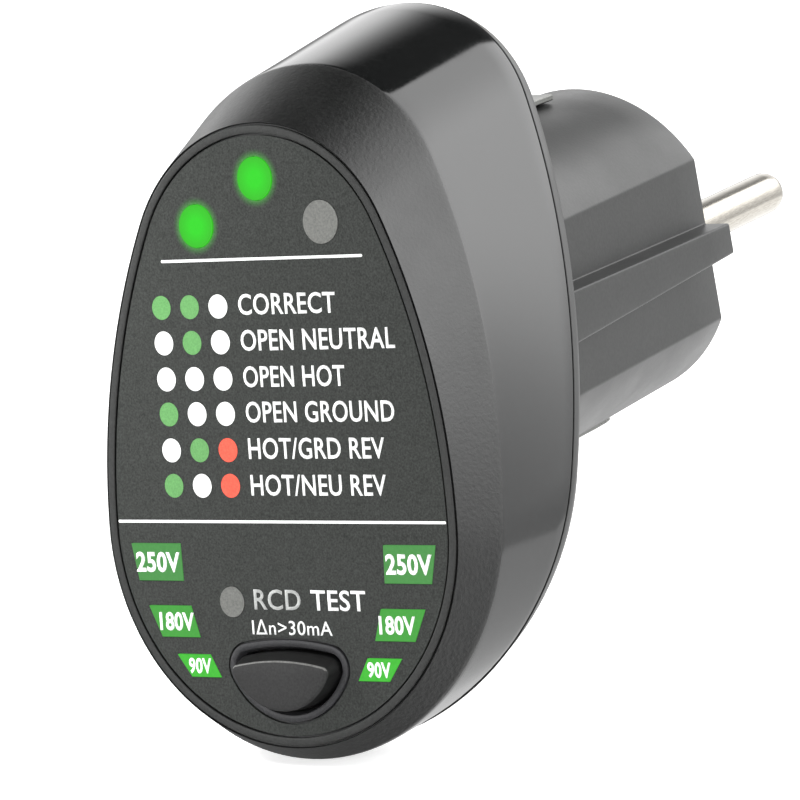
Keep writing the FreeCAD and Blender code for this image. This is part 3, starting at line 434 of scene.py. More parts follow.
def lamp_material(key):
    x, z, radius = LAMPS[key]
    centre = tuple(stand(FACE, np.array([[x, z]]))[0] * MM)
    return glowing(f"lamp_lit_{key}", srgb(40, 190, 0), srgb(30, 220, 0), 0.97, radius, centre)


LAMP_LEFT = lamp_material("left")
LAMP_TOP = lamp_material("top")
WINDOW_LIT = {
    "250": glowing("window_lit_250", srgb(74, 160, 74), srgb(92, 172, 90), 0.75),
    "180": glowing("window_lit_180", srgb(62, 168, 54), srgb(78, 180, 70), 0.85),
    "90": glowing("window_lit_90", srgb(52, 184, 38), srgb(74, 204, 58), 0.95),
}


def paint(thing, *materials):
    thing.data.materials.clear()
    for material in materials:
        thing.data.materials.append(material)
    return thing


# -------------------------------------------------------------------------------------- front shell

RIM_FLAT, RIM_WIDTH, RIM_HEIGHT = 0.95, 1.1, 0.35
LABEL_GAP, RIM_GROOVE = 0.22, 0.14
EDGE_ROUND, RIM_ROUND = 0.1, 0.12
CREASE, PARTING_EDGE = 0.45, 0.08
WALL, FRONT_WALL = 2.0, 2.4
RECESS = 0.5
# what lies above this on the face has the rim's finish
RIM_FACE = -0.13
BEZEL_WIDTH = 1.25
WINDOW_GAP, THROUGH = 0.05, (-4, 1)


def front_rings():
    """Rings of the whole front shell, from the label's recess round the outside to the inside."""

    def on_face(grow, out):
        return stand(FACE, oval(LABEL, grow), out)

    rings = [on_face(LABEL_GAP, -RECESS), on_face(LABEL_GAP, -EDGE_ROUND)]
    for turn in (30, 60, 90):
        t = math.radians(turn)
        grow = LABEL_GAP + EDGE_ROUND * (1 - math.cos(t))
        rings.append(on_face(grow, -EDGE_ROUND * (1 - math.sin(t))))
    rings.append(on_face(0.6, 0.0))
    for turn in (0, 22, 45, 67, 90):
        t = math.radians(turn)
        grow = RIM_FLAT + (RIM_WIDTH - RIM_FLAT) * math.sin(t)
        rings.append(on_face(grow, RIM_ROUND * (math.cos(t) - 1)))
    groove_end = RIM_WIDTH + RIM_GROOVE
    rings.append(on_face(RIM_WIDTH + 0.02, -RIM_HEIGHT))
    rings.append(on_face(groove_end, -RIM_HEIGHT))
    rings.append(on_face(groove_end + 0.03, -0.22))
    start = on_face(groove_end + 0.12, -0.14)
    rings.append(start)
    shoulder = stand(SHOULDER_PLANE, oval(SHOULDER))
    parting = stand(PARTING_PLANE, oval(PARTING))
    inner_edge = stand(PARTING_PLANE, oval(PARTING, -1.0))
    rings += [start + (shoulder - start) * t for t in np.linspace(0, 0.9, 13)[1:]]
    rings += bend(start, shoulder, parting, CREASE)
    rings += [shoulder + (parting - shoulder) * t for t in np.linspace(0, 1, 9)[1:-1]]
    rings += bend(shoulder, parting, inner_edge, PARTING_EDGE, steps=3)
    rings.append(stand(PARTING_PLANE, oval(PARTING, -WALL)))
    rings.append(stand(SHOULDER_PLANE, oval(SHOULDER, -WALL)))
    rings.append(on_face(-1.0, -FRONT_WALL))
    return rings


def prism(name, points, plane, low, high):
    return skin(name, [stand(plane, points, low), stand(plane, points, high)])


def window_corners(volts, sign, grow=0.0):
    x, z, width, height, lean = VOLTS[volts]
    half, rise = width / 2 + grow, height / 2 + grow
    return np.array(
        [
            (sign * (x + lean / 2 + half), z + rise),
            (sign * (x + lean / 2 - half), z + rise),
            (sign * (x - lean / 2 - half * 0.9), z - rise),
            (sign * (x - lean / 2 + half * 0.9), z - rise),
        ]
    )


def plane_axes(tilt):
    """Unit vectors up along a leaning plane and out of it."""
    lean = math.radians(tilt)
    return Vector((0, math.sin(lean), math.cos(lean))), Vector((0, -math.cos(lean), math.sin(lean)))


def height_over(plane, point):
    """How far a point of a mesh stands out from a leaning plane, in millimetres."""
    depth, tilt = plane
    return plane_axes(tilt)[1].dot(point / MM + Vector((0, depth, 0)))


def make_front_shell():
    shell = skin("head_front_shell", front_rings())
    tools = [prism("well_tool", oval(BUTTON, BEZEL_WIDTH, HALF_MOON_STEPS), FACE, *THROUGH)]
    for key, (x, z, radius) in LAMPS.items():
        tools.append(prism(f"lamp_tool_{key}", circle(x, z, radius + WINDOW_GAP), FACE, *THROUGH))
    for volts in VOLTS:
        for side, sign in SIDES.items():
            corners = window_corners(volts, sign, WINDOW_GAP)
            tools.append(prism(f"volt_tool_{volts}_{side}", corners, FACE, *THROUGH))
    cut(shell, *tools)
    paint(shell, BLACK_GLOSS, BLACK_GRAIN, RIM_SATIN)
    for polygon in shell.data.polygons:
        if height_over(FACE, polygon.center) > RIM_FACE:
            polygon.material_index = 2
        elif height_over(SHOULDER_PLANE, polygon.center) > 0:
            polygon.material_index = 1
        else:
            polygon.material_index = 0
    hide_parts("front_shell")
    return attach(smooth(shell, 32), "housing")


def make_bezel():
    """The bevelled edge of the button's well."""
    profile = [(BEZEL_WIDTH, -FRONT_WALL), (BEZEL_WIDTH, -0.1), (1.22, -0.03), (1.15, 0.0)]
    profile += [(0.62, 0.0), (0.54, -0.04), (0.3, -0.6), (0.24, -0.75)]
    profile += [(0.2, -0.95), (0.2, -FRONT_WALL)]
    rings = [stand(FACE, oval(BUTTON, grow, HALF_MOON_STEPS), out) for grow, out in profile]
    bezel = paint(skin("button_well_bezel", rings, loop=True), BEZEL_SATIN)
    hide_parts("front_shell")
    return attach(smooth(bezel, 40), "housing")


CAP_PROUD, CAP_EDGE, CAP_CROWN = 1.7, 0.3, 0.12
FLANGE_GROW, FLANGE_FRONT, FLANGE_BACK = 0.8, -2.5, -3.4


def make_button():
    """The half-moon cap, with a steep upper flank and a slightly crowned top. Its sides below the
    rounded edge are painted near black as painted shade, and the upward-facing part of the edge is
    painted light grey as a painted highlight.
    """
    outer = oval(BUTTON, 0.0, HALF_MOON_STEPS)
    flange = oval(BUTTON, FLANGE_GROW, HALF_MOON_STEPS)
    cap = oval(CAP, 0.0, HALF_MOON_STEPS)
    middle = cap.mean(0)
    edge_start = CAP_PROUD - CAP_EDGE
    rings = [stand(FACE, flange, FLANGE_BACK), stand(FACE, flange, FLANGE_FRONT)]
    rings += [stand(FACE, outer, FLANGE_FRONT), stand(FACE, outer, -0.4)]
    for t in (0.0, 0.33, 0.66, 1.0):
        rings.append(stand(FACE, outer * (1 - t) + cap * t, edge_start * t))
    for turn in (22, 45, 67, 90):
        t = math.radians(turn)
        inward = oval(CAP, -CAP_EDGE * (1 - math.cos(t)), HALF_MOON_STEPS)
        rings.append(stand(FACE, inward, edge_start + CAP_EDGE * math.sin(t)))
    top = oval(CAP, -CAP_EDGE, HALF_MOON_STEPS)
    for share in (0.85, 0.6, 0.3):
        ring = middle + (top - middle) * share
        rings.append(stand(FACE, ring, CAP_PROUD + CAP_CROWN * (1 - share**2)))
    button = paint(skin("test_button_cap", rings), BUTTON_MATT, BUTTON_EDGE_PAINTED_HIGHLIGHT, BAFFLE_BLACK_AND_PAINTED_SHADE)
    up, outward = plane_axes(FACE[1])
    for polygon in button.data.polygons:
        # the cap's sides below its rounded edge are painted near black: painted shade inside the well
        if height_over(FACE, polygon.center) < edge_start:
            polygon.material_index = 2
        # faces of the rounded edge that look upwards are painted light grey: a painted highlight
        elif polygon.normal.dot(up) > 0.3 and 0.3 < polygon.normal.dot(outward) < 0.9:
            polygon.material_index = 1
    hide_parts("rcd_button")
    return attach(smooth(button, 40), "button")


# --------------------------------------------------------------------------------------- rear cover

COVER_LIP, COVER_TOP, COVER_GROW, COVER_REACH = 0.7, 4.4, 0.05, 10.0
COVER_TAPER = math.tan(math.radians(0.57))
COVER_TUCK, TUCK_START, TUCK_RUN = 0.7, -16.0, 20.0
DOME_TURNS = (5, 10, 16, 22, 30, 38, 46, 55, 66, 78, 90)
TONGUE_FRONT, TONGUE_INSIDE, INSIDE_REACH = 1.2, 3.9, 5.0
SHELL_GAP, PILLAR_BACK = 0.15, -1.9
BOSS_RADIUS, SINK_RADIUS, SINK_FLOOR, SCREW_HOLE = 3.0, 2.6, -1.2, 1.4
BOSSES = ((15.9, 21.0), (-15.9, 21.0), (20.6, -27.0), (-20.6, -27.0))

# (radius, side of the flats, side of the ribs, half width of a rib), at the end with the pins
PLUG_SECTION = (18.0, 15.45, 18.6, 1.75)
PLUG_END, PLUG_DRAFT = -4.0, math.tan(math.radians(1.86))


def plug_outline(grow=0.0, arc_steps=48):
    """Round outline with a flat and a guide rib on each side, its corners rounded."""
    radius, flat, rib, half = (size + grow for size in PLUG_SECTION)
    edge = math.sqrt(radius**2 - flat**2)
    turn = math.atan2(edge, flat)
    right = [(flat, -edge, 0.2), (flat, -half, 0.2), (rib, -half, 0.3)]
    right += [(x, -z, corner) for x, z, corner in reversed(right)]
    left = [(-x, -z, corner) for x, z, corner in right]
    path = list(right)
    for start, end, side in ((turn, math.pi - turn, left), (math.pi + turn, 2 * math.pi - turn, [])):
        for step in range(1, arc_steps):
            at = start + (end - start) * step / arc_steps
            path.append((radius * math.cos(at), radius * math.sin(at), 0))
        path += side
    points = []
    for index, (x, z, corner) in enumerate(path):
        here = np.array((x, z))
        if not corner:
            points.append(here)
            continue
        before = np.array(path[index - 1][:2]) - here
        after = np.array(path[(index + 1) % len(path)][:2]) - here
        start = here + before / np.linalg.norm(before) * corner
        end = here + after / np.linalg.norm(after) * corner
        for t in (0, 0.25, 0.5, 0.75, 1):
            points.append(start * (1 - t) ** 2 + here * 2 * t * (1 - t) + end * t**2)
    return np.array(points)


def behind_parting(points, gap):
    """Depth of the plane that lies a gap behind the parting, at each point of an outline."""
    depth, tilt = PARTING_PLANE
    lean = math.radians(tilt)
    return -depth + (gap + points[:, 1] * math.sin(lean)) / math.cos(lean)


def dome_ring(grow, out):
    """One ring of the cover's outside; the low end is tucked in behind the front shell."""
    points = oval(PARTING, grow)
    tapered = out - COVER_TAPER * points[:, 1]
    low_share = np.clip((TUCK_START - points[:, 1]) / TUCK_RUN, 0, 1)
    tuck = -out * math.tan(math.radians(PARTING_PLANE[1])) + 0.1
    points[:, 1] += low_share * min(COVER_TUCK, tuck)
    return stand(PARTING_PLANE, points, tapered)


def cover_rings():
    """Rings of the cover from the middle of its dome over its edge to the inside."""

    def on_parting(grow, out):
        return stand(PARTING_PLANE, oval(PARTING, grow), out)

    rings = []
    for turn in reversed(DOME_TURNS):
        t = math.radians(turn)
        grow = COVER_GROW - COVER_REACH * (1 - math.cos(t))
        rings.append(dome_ring(grow, -COVER_LIP - (COVER_TOP - COVER_LIP) * math.sin(t)))
    rings.append(dome_ring(COVER_GROW, -COVER_LIP))
    rings.append(on_parting(COVER_GROW, -SHELL_GAP - 0.05))
    rings.append(on_parting(COVER_GROW - 0.05, -SHELL_GAP))
    rings.append(on_parting(-3.0, -SHELL_GAP))
    rings.append(on_parting(-3.0, TONGUE_FRONT))
    rings.append(on_parting(-TONGUE_INSIDE, TONGUE_FRONT))
    rings.append(on_parting(-TONGUE_INSIDE, -COVER_LIP))
    for turn in range(15, 91, 15):
        t = math.radians(turn)
        grow = -TONGUE_INSIDE - INSIDE_REACH * (1 - math.cos(t))
        rings.append(on_parting(grow, -COVER_LIP - (COVER_TOP - WALL - COVER_LIP) * math.sin(t)))
    return rings


def boss_tools(name, radius, low, high, steps=48):
    tools = []
    for index, (x, z) in enumerate(BOSSES):
        tools.append(prism(f"{name}_{index}", circle(x, z, radius, steps), PARTING_PLANE, low, high))
    return tools


def make_rear_cover():
    cover = skin("head_rear_cover", cover_rings())
    cut(cover, *boss_tools("relief_tool", BOSS_RADIUS, -SHELL_GAP, 3))
    fuse(cover, *boss_tools("pillar_tool", BOSS_RADIUS, PILLAR_BACK, -SHELL_GAP))
    small, large = plug_outline(0.1 - 6 * PLUG_DRAFT), plug_outline(0.1 + 66 * PLUG_DRAFT)
    opening = skin("plug_tool", [across(small, 2), across(large, -70)])
    tools = [opening]
    sinks = boss_tools("sink_tool", SINK_RADIUS, -9, SINK_FLOOR)
    for pair in zip(sinks, boss_tools("hole_tool", SCREW_HOLE, -3, 1, steps=32)):
        tools += pair
    cut(cover, *tools)
    paint(cover, COVER_SATIN)
    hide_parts("rear_cover")
    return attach(smooth(cover, 30), "housing")


# --------------------------------------------------------------------------------------- mains plug


PLUG_EDGE, PLUG_LENGTH, PLUG_BACK_GAP = 0.15, 38, 0.5
BORE_RADIUS, BORE_SIDE, BORE_END = 16.2, 13.65, -6.5
CLIP_HALF_WIDTH, GROOVE_FLOOR = 3.1, 18.3
GROOVE_BACK, GROOVE_FRONT, SLOT_FRONT = -27.2, -10.8, -26.0


def bar(name, sign, low, high, back, front):
    """A block across the top or the bottom of the plug, as wide as the clip's groove."""
    half = CLIP_HALF_WIDTH
    corners = [(-half, sign * low), (half, sign * low), (half, sign * high), (-half, sign * high)]
    return skin(name, [across(np.array(corners), back), across(np.array(corners), front)])


def make_plug_shell():
    rings = []
    for turn in (0, 30, 60, 90):
        t = math.radians(turn)
        outline = plug_outline(-PLUG_EDGE * (1 - math.sin(t)))
        rings.append(across(outline, PLUG_END - PLUG_EDGE * (1 - math.cos(t))))
    start = rings[-1]
    front, root = plug_outline(0.0), plug_outline(PLUG_LENGTH * PLUG_DRAFT)
    far = behind_parting(root, PLUG_BACK_GAP)
    end = across(front + (root - front) * ((-far + PLUG_END) / PLUG_LENGTH)[:, None], far)
    rings += [start + (end - start) * t for t in np.linspace(0, 1, 9)[1:]]
    shell = skin("plug_body", rings)
    fuse(shell, prism("flange_tool", oval(PARTING, -7.5), PARTING_PLANE, -2.1, -0.5))
    bore = circle(0, 0, BORE_RADIUS, 96)
    bore[:, 0] = np.clip(bore[:, 0], -BORE_SIDE, BORE_SIDE)
    tools = [skin("bore_tool", [across(bore, -75), across(bore, BORE_END)])]
    tools += boss_tools("relief_tool", 3.2, -5, 0)
    tools.append(skin("carrier_tool", [across(stadium(0.0), -9), across(stadium(0.0), -3)]))
    for sign in (1, -1):
        tools.append(bar(f"groove_tool_{sign}", sign, GROOVE_FLOOR, 30, GROOVE_BACK, GROOVE_FRONT))
        tools.append(bar(f"slot_tool_{sign}", sign, 13, GROOVE_FLOOR + 0.5, GROOVE_BACK, SLOT_FRONT))
    cut(shell, *tools)
    paint(shell, PLUG_SATIN)
    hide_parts("plug_shell")
    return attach(smooth(shell, 24), "housing")


def stadium(grow=0.0, steps=24):
    radius, reach = 6.0 + grow, 6.4
    turns = np.linspace(-math.pi / 2, math.pi / 2, steps)
    right = [(reach + radius * math.cos(t), radius * math.sin(t)) for t in turns]
    left = [(-x, -z) for x, z in right]
    return np.array(right + left)


NOSE_EDGE, DISH_DEPTH = 0.5, 0.35
PIN_SIDE, PIN_RADIUS, NECK_RADIUS, COLLAR_RADIUS, TAIL_RADIUS = 9.5, 2.4, 2.2, 3.2, 1.4
HOLE_RADIUS, DISH_RADIUS = 2.25, 2.75
PIN_DOME_START = 16.6
# (depth, height) of the middle of the earth clip's strip
CLIP_PATH = (
    (-26.6, 14.0), (-26.6, 17.4), (-26.5, 18.2), (-26.1, 18.65), (-25.4, 18.82),
    (-22.0, 18.85), (-17.0, 18.85), (-14.0, 18.82), (-12.2, 18.76), (-11.2, 18.7),
)
CLIP_WIDTH, CLIP_TIP_WIDTH, CLIP_HALF_THICK, CLIP_BEVEL = 3.0, 2.85, 0.35, 0.15


def make_pin_carrier():
    """The raised nose that holds the pins, with rounded edges and a shallow dish round each pin."""
    rings = [across(stadium(1.2), -8.5), across(stadium(1.2), -6.5), across(stadium(0.0), -6.5)]
    for turn in (0, 30, 60, 90):
        t = math.radians(turn)
        outline = stadium(-NOSE_EDGE * (1 - math.cos(t)))
        rings.append(across(outline, NOSE_EDGE * (math.sin(t) - 1)))
    carrier = skin("pin_carrier_nose", rings)
    tools = []
    for side, sign in SIDES.items():
        hole, dish = (circle(sign * PIN_SIDE, 0, radius) for radius in (HOLE_RADIUS, DISH_RADIUS))
        rings = [across(hole, -10), across(hole, -DISH_DEPTH), across(dish, 0.0), across(dish, 1)]
        tools.append(skin(f"pin_tool_{side}", rings))
    cut(carrier, *tools)
    paint(carrier, CARRIER_BLACK)
    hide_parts("pin_carrier")
    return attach(smooth(carrier, 35), "housing")


def make_pins():
    """Turned pins: a tail with a bevelled end, a neck, a collar, and a shank with a round end."""
    profile = [(0.9, -18.0), (1.3, -17.9), (TAIL_RADIUS, -17.6), (TAIL_RADIUS, -14.0)]
    profile += [(NECK_RADIUS, -14.0), (NECK_RADIUS, -10.05)]
    profile += [(COLLAR_RADIUS - 0.1, -10.05), (COLLAR_RADIUS, -9.9), (COLLAR_RADIUS, -8.7)]
    profile += [(COLLAR_RADIUS - 0.1, -8.6), (NECK_RADIUS, -8.55), (NECK_RADIUS, 0.15)]
    profile += [(PIN_RADIUS, depth) for depth in (0.3, 8.0, 16.0)]
    for turn in range(10, 90, 10):
        t = math.radians(turn)
        profile.append((PIN_RADIUS * math.cos(t), PIN_DOME_START + PIN_RADIUS * math.sin(t)))
    for label, x in (("line_pin", -PIN_SIDE), ("neutral_pin", PIN_SIDE)):
        rings = [across(circle(x, 0, radius, 72), y) for radius, y in profile]
        pin = paint(skin(f"{label}_turned", rings), NICKEL)
        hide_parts(label)
        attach(smooth(pin, 35), "housing")


def strip_section(width):
    """Half widths and shares of the half thickness round a flat strip with bevelled edges."""
    inner = width - CLIP_BEVEL
    one_side = [(width, -0.6), (width, 0.6), (inner, 1), (-inner, 1)]
    return one_side + [(-x, -share) for x, share in one_side]


def make_earth_clips():
    """Flat spring strips that lie in the plug's grooves and bend inwards at the back."""
    for place, sign in (("top", 1), ("bottom", -1)):
        rings = []
        last = len(CLIP_PATH) - 1
        for index, (y, z) in enumerate(CLIP_PATH):
            y0, z0 = CLIP_PATH[max(index - 1, 0)]
            y1, z1 = CLIP_PATH[min(index + 1, last)]
            length = math.hypot(y1 - y0, z1 - z0)
            thick_y = -(z1 - z0) / length * CLIP_HALF_THICK
            thick_z = (y1 - y0) / length * CLIP_HALF_THICK
            section = strip_section(CLIP_WIDTH if index < last else CLIP_TIP_WIDTH)
            points = [(x, y + thick_y * share, sign * (z + thick_z * share)) for x, share in section]
            rings.append(np.array(points))
        clip = paint(skin(f"earth_clip_{place}_spring", rings), SPRING_STEEL)
        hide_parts(f"earth_clip_{place}")
        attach(smooth(clip, 40), "housing")


# --------------------------------------------------------------------------------------- face print

INK_HEIGHT = 0.02
LABEL_FRONT = -0.1
WINDOW_FRONT = -0.05
LINE_THICK, DOT_RADIUS, LEGEND_HEIGHT = 0.3, 1.28, 2.25
# (left, right, height over the middle) of the two printed lines
LINES = ((-13.6, 13.6, 14.5), (-22.15, 22.15, -13.4))
DOT_COLUMNS = (-14.0, -10.1, -6.2)
DOT_ROWS = ((9.56, "ggw"), (5.75, "wgw"), (1.88, "www"), (-1.88, "gww"), (-5.75, "wgr"), (-9.56, "gwr"))
# (text, left, right, height over the middle) of each legend
LEGENDS = (
    ("CORRECT", -3.4, 9.6, 9.71),
    ("OPEN NEUTRAL", -3.4, 17.1, 5.9),
    ("OPEN HOT", -3.4, 10.2, 2.03),
    ("OPEN GROUND", -3.4, 16.4, -1.73),
    ("HOT/GRD REV", -3.4, 14.8, -5.6),
    ("HOT/NEU REV", -3.4, 14.7, -9.5),
)
# (middle to one side, half width, height) of the figures on the voltage windows
NUMBERS = {"250": (16.95, 3.05, 2.2), "180": (14.9, 2.4, 2.0), "90": (12.1, 1.55, 1.7)}


def print_mesh(name, shapes, base, material):
    """Thin printed shapes; each is an outline on the face."""

    def build(bm):
        for points in shapes:
            add_skin(bm, [stand(FACE, points, base), stand(FACE, points, base + INK_HEIGHT)])

    thing = paint(mesh_from(name, build), material)
    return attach(thing, "housing")


def line(left, right, up):
    """A level line with round ends."""
    radius = LINE_THICK / 2
    right_end = circle(right - radius, up, radius, 24)
    left_end = circle(left + radius, up, radius, 24)
    return np.concatenate([right_end[-6:], right_end[:7], left_end[6:19]])


def lettering(name, text, left, right, middle, height, material, base=LABEL_FRONT, bold=0.012):
    """Plain capitals fitted between two sides and to a height, standing on the face."""
    curve = bpy.data.curves.new(name, "FONT")
    curve.body = text
    curve.resolution_u = 4
    curve.offset = bold
    curve.space_character = 1.05
    letters = add_object(f"{name}_curve", curve)
    graph = bpy.context.evaluated_depsgraph_get()
    graph.update()
    mesh = bpy.data.meshes.new_from_object(letters.evaluated_get(graph))
    bpy.data.objects.remove(letters)
    co = np.array([vertex.co[:2] for vertex in mesh.vertices])
    low, high = co.min(0), co.max(0)
    flat = (co - low) / (high - low)
    flat = np.stack([left + flat[:, 0] * (right - left), middle + (flat[:, 1] - 0.5) * height], 1)
    bm = bmesh.new()
    bm.from_mesh(mesh)
    bm.verts.ensure_lookup_table()
    for vertex, point in zip(bm.verts, stand(FACE, flat, base) * MM):
        vertex.co = Vector(point)
    bmesh.ops.remove_doubles(bm, verts=bm.verts, dist=1e-7)
    lean = math.radians(FACE[1])
    rise = Vector((0, -math.cos(lean), math.sin(lean))) * INK_HEIGHT * MM
    raised = bmesh.ops.extrude_face_region(bm, geom=bm.faces[:])
    tops = [item for item in raised["geom"] if isinstance(item, bmesh.types.BMVert)]
    bmesh.ops.translate(bm, vec=rise, verts=tops)
    bmesh.ops.recalc_face_normals(bm, faces=bm.faces)
    bm.to_mesh(mesh)
    bm.free()
    thing = paint(add_object(name, mesh), material)
    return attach(thing, "housing")


def make_print():
    colours = {"g": ("green", INK_GREEN), "w": ("white", INK_WHITE), "r": ("red", INK_RED)}
    for letter, (word, material) in colours.items():
        dots = []
        for z, row in DOT_ROWS:
            dots += [circle(x, z, DOT_RADIUS, 40) for x, key in zip(DOT_COLUMNS, row) if key == letter]
        print_mesh(f"print_dots_{word}", dots, LABEL_FRONT, material)
    print_mesh("print_lines", [line(*place) for place in LINES], LABEL_FRONT, INK_WHITE)
    for index, (text, left, right, up) in enumerate(LEGENDS):
        lettering(f"print_legend_{index}", text, left, right, up, LEGEND_HEIGHT, INK_WHITE)
    lettering("print_test_first", "RCD", -4.1, 2.2, -21.7, 2.2, INK_GREY)
    lettering("print_test_second", "TEST", 3.6, 10.9, -21.7, 2.2, INK_WHITE)
    lettering("print_trip_current", "I∆n>30mA", -4.6, 6.2, -24.65, 1.6, INK_WHITE, bold=0.004)
    for volts, (x, half, height) in NUMBERS.items():
        for side, sign in SIDES.items():
            lettering(
                f"print_volts_{volts}_{side}", f"{volts}V", sign * x - half, sign * x + half,
                VOLTS[volts][1], height, INK_WHITE, base=WINDOW_FRONT, bold=0.03,
            )


# -------------------------------------------------------------------------- finishes of CAD nodes

CAD_FINISHES = {
    "face_label": label_material(),
    "lamp_window_left": LAMP_LEFT,
    "lamp_window_top": LAMP_TOP,
    "lamp_window_right": LENS_GREY,
    "lamp_window_trip": LENS_GREY,
    "earth_bridge": BRASS,
    "light_baffle": BAFFLE_BLACK_AND_PAINTED_SHADE,
    "circuit_board": BOARD_GREEN,
    "led_left": LED_CLEAR,
    "led_top": LED_CLEAR,
    "led_right": LED_CLEAR,
    "led_trip": LED_CLEAR,
    "voltage_leds": LED_CLEAR,
    "test_switch": SWITCH_BLACK,
    "switch_plunger": CHIP_BLACK,
    "switch_dome": ZINC,
    "film_capacitor": FILM_RED,
    "microcontroller": CHIP_BLACK,
    "bridge_rectifier": CHIP_BLACK,
    "trip_triac": CHIP_BLACK,
    "smoothing_capacitor": CAN_SLEEVE,
    "resistors": RESISTOR_BLUE,
    "line_lead": LEAD_BROWN,
    "neutral_lead": LEAD_BLUE,
    "earth_lead": LEAD_GREEN,
    "case_screws": ZINC,
    "board_screws": ZINC,
}

make_front_shell()
make_bezel()
make_button()
make_rear_cover()
make_plug_shell()
make_pin_carrier()
make_pins()
make_earth_clips()
make_print()
for node, material in CAD_FINISHES.items():
    paint(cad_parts[node], material)
for volts in VOLTS:
    for side in SIDES:
        paint(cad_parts[f"voltage_window_{volts}_{side}"], WINDOW_LIT[volts])


# ------------------------------------------------------------------------------- floor, light, camera


def direction(azimuth, elevation):
    """Unit vector towards a place on the sky; azimuth 0 is in front of the face and 90 to its right."""
    a, e = math.radians(azimuth), math.radians(elevation)
    return Vector((math.sin(a) * math.cos(e), -math.cos(a) * math.cos(e), math.sin(e)))


def softbox(name, azimuth, elevation, distance, width, height, radiance, glossy=True):
    light = bpy.data.lights.new(name, "AREA")
    light.shape = "RECTANGLE"
    light.size, light.size_y = width, height
    light.energy = math.pi * width * height * radiance
    lamp = add_object(name, light)
    towards = direction(azimuth, elevation)
    lamp.location = Vector((0, -0.03, 0)) + towards * distance
    lamp.rotation_mode = "QUATERNION"
    lamp.rotation_quaternion = (-towards).to_track_quat("-Z", "Y")
    lamp.visible_camera = False
    lamp.visible_glossy = glossy
    return lamp


SOFTBOX_MIDDLE, SOFTBOX_LIGHT = 140, 3.55
RING_LIGHT, DARK, BELOW_LIGHT = 1.75, 0.035, 1.9
FLOOR_HALF, FLOOR_DARK, FLOOR_LIGHT, FLOOR_GLOW = 6.0, srgb(238, 238, 238), srgb(244, 244, 244), 0.62

# where the camera is turned, in degrees, its focal length in pixels of an 800 pixel frame, and the
# place it stands at: millimetres to its right, upwards and back from a point just before the middle
CAMERA_TURN, CAMERA_HEIGHT, CAMERA_ROLL = 38.58, 12.60, -10.54
FOCAL_PIXELS, FRAME_PIXELS, SENSOR_WIDTH = 5639.45, 800, 36
CAMERA_RIGHT, CAMERA_UP, CAMERA_BACK = -22.35, -17.94, 641.93


def make_floor():
    low = min(corner.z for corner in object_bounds())
    half = FLOOR_HALF
    corners = [(-half, -half, low), (half, -half, low), (half, half, low), (-half, half, low)]
    mesh = bpy.data.meshes.new("floor")
    mesh.from_pydata(corners, [], [(0, 1, 2, 3)])
    floor = add_object("floor", mesh)
    material, nodes, links, shader = new_material("floor_pale")
    place = nodes.new("ShaderNodeTexCoord").outputs["Object"]
    colour = tint(nodes, links, noise(nodes, links, place, 30), FLOOR_DARK, FLOOR_LIGHT)
    links.new(colour, shader.inputs["Base Color"])
    shader.inputs["Roughness"].default_value = 0.8
    shader.inputs["Emission Color"].default_value = (1, 1, 1, 1)
    shader.inputs["Emission Strength"].default_value = FLOOR_GLOW
    paint(floor, material)
    floor.visible_glossy = False
    floor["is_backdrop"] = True


def world_ramp(nodes, links, value, start, end, low=0.0, high=1.0):
    """A smooth step of a value between two angles given in degrees."""
    node = nodes.new("ShaderNodeMapRange")
    node.interpolation_type = "SMOOTHSTEP"
    node.inputs["From Min"].default_value = math.radians(start)
    node.inputs["From Max"].default_value = math.radians(end)
    node.inputs["To Min"].default_value = low
    node.inputs["To Max"].default_value = high
    links.new(value, node.inputs["Value"])
    return node.outputs["Result"]


def world_math(nodes, links, operation, one, two=None):
    node = nodes.new("ShaderNodeMath")
    node.operation = operation
    for socket, item in zip(node.inputs, (one, two)):
        if item is None:
            continue
        if isinstance(item, (int, float)):
            socket.default_value = item
        else:
            links.new(item, socket)
    return node.outputs[0]


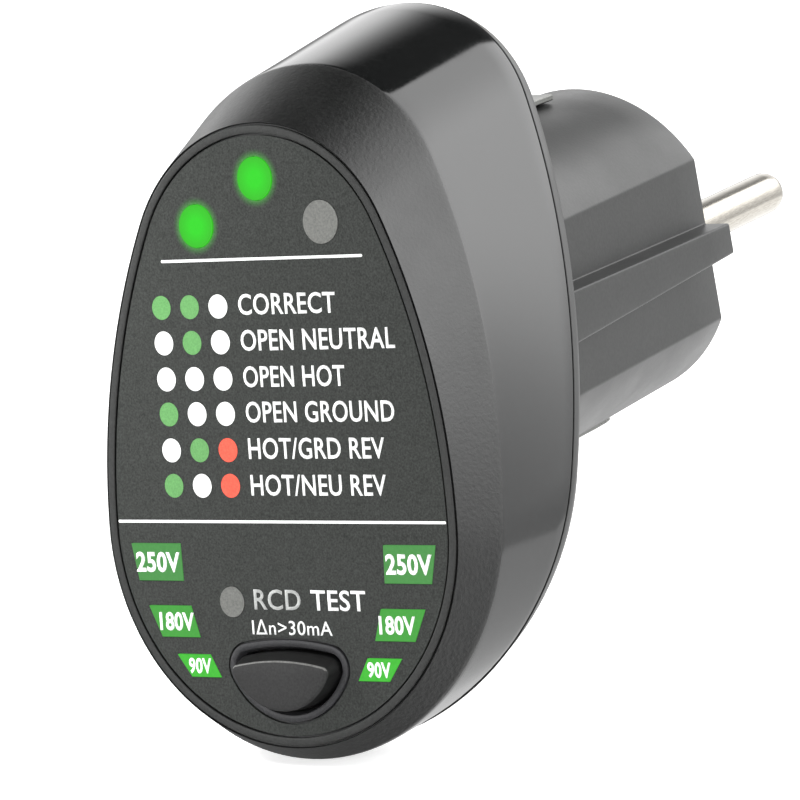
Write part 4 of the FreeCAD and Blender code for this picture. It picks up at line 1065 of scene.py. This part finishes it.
def make_world():
    """A studio: a pale ring round the horizon, a softbox at the right rear and light from below it."""
    world = bpy.data.worlds.new("studio")
    bpy.context.scene.world = world
    world.use_nodes = True
    nodes, links = world.node_tree.nodes, world.node_tree.links
    background = nodes["Background"]
    place = nodes.new("ShaderNodeTexCoord").outputs["Generated"]
    parts = nodes.new("ShaderNodeSeparateXYZ")
    links.new(place, parts.inputs["Vector"])
    x, y, z = parts.outputs

    def ramp(value, *stops):
        return world_ramp(nodes, links, value, *stops)

    def calc(operation, one, two=None):
        return world_math(nodes, links, operation, one, two)

    # turn is the angle to the right of the softbox's middle, and rise the height over the horizon
    middle = math.radians(SOFTBOX_MIDDLE)
    cosine, sine = math.cos(middle), math.sin(middle)
    sideways = calc("ADD", calc("MULTIPLY", x, cosine), calc("MULTIPLY", y, sine))
    ahead = calc("SUBTRACT", calc("MULTIPLY", x, sine), calc("MULTIPLY", y, cosine))
    turn = calc("ARCTAN2", sideways, ahead)
    rise = calc("ARCSINE", z)
    ring = calc("MULTIPLY", ramp(rise, 19, 42, RING_LIGHT, DARK), ramp(rise, -1, 8, 0.0, 1.0))
    box = calc("MULTIPLY", ramp(turn, -88, -42), ramp(turn, 36.5, 39, 1.0, 0.0))
    box = calc("MULTIPLY", box, ramp(rise, -12, 22))
    box = calc("MULTIPLY", box, ramp(rise, 31, 60, 1.0, 0.5))
    box = calc("MULTIPLY", calc("MULTIPLY", box, ramp(rise, 60, 76, 1.0, 0.0)), SOFTBOX_LIGHT)
    right = calc("MULTIPLY", ramp(turn, -60, -30), ramp(turn, 55, 78, 1.0, 0.5))
    right = calc("MULTIPLY", right, ramp(turn, 78, 98, 1.0, 0.25))
    right = calc("MULTIPLY", right, ramp(rise, -84, -62, 0.3, 1.0))
    below = calc("MULTIPLY", ramp(rise, -20, -18, 1.0, 0.6), ramp(rise, -10, 10, BELOW_LIGHT, 0.0))
    below = calc("MULTIPLY", below, calc("MAXIMUM", right, 0.06))
    background.inputs["Color"].default_value = (1, 1, 1, 1)
    links.new(calc("ADD", calc("MAXIMUM", ring, box), below), background.inputs["Strength"])


def make_camera():
    camera = bpy.data.cameras.new("camera")
    camera.sensor_width = SENSOR_WIDTH
    camera.lens = FOCAL_PIXELS * SENSOR_WIDTH / FRAME_PIXELS
    camera.clip_start, camera.clip_end = 0.05, 50
    thing = add_object("camera", camera)
    turn, roll = math.radians(CAMERA_TURN), math.radians(CAMERA_ROLL)
    back = direction(CAMERA_TURN, CAMERA_HEIGHT)
    level = Vector((math.cos(turn), math.sin(turn), 0))
    upright = back.cross(level)
    right = math.cos(roll) * level + math.sin(roll) * upright
    up = -math.sin(roll) * level + math.cos(roll) * upright
    place = right * CAMERA_RIGHT + up * CAMERA_UP + back * CAMERA_BACK + Vector((0, -4, 0))
    pose = Matrix((right, up, back)).transposed().to_4x4()
    pose.translation = place * MM
    thing.matrix_world = pose
    bpy.context.scene.camera = thing


make_floor()
make_world()
make_camera()
softbox("overhead_fill", 0, 88, 1.6, 2.0, 2.0, 0.7, glossy=False)
softbox("front_fill", -58, 24, 0.105, 0.04, 0.04, 30, glossy=False)
bpy.context.scene.view_settings.view_transform = "Standard"
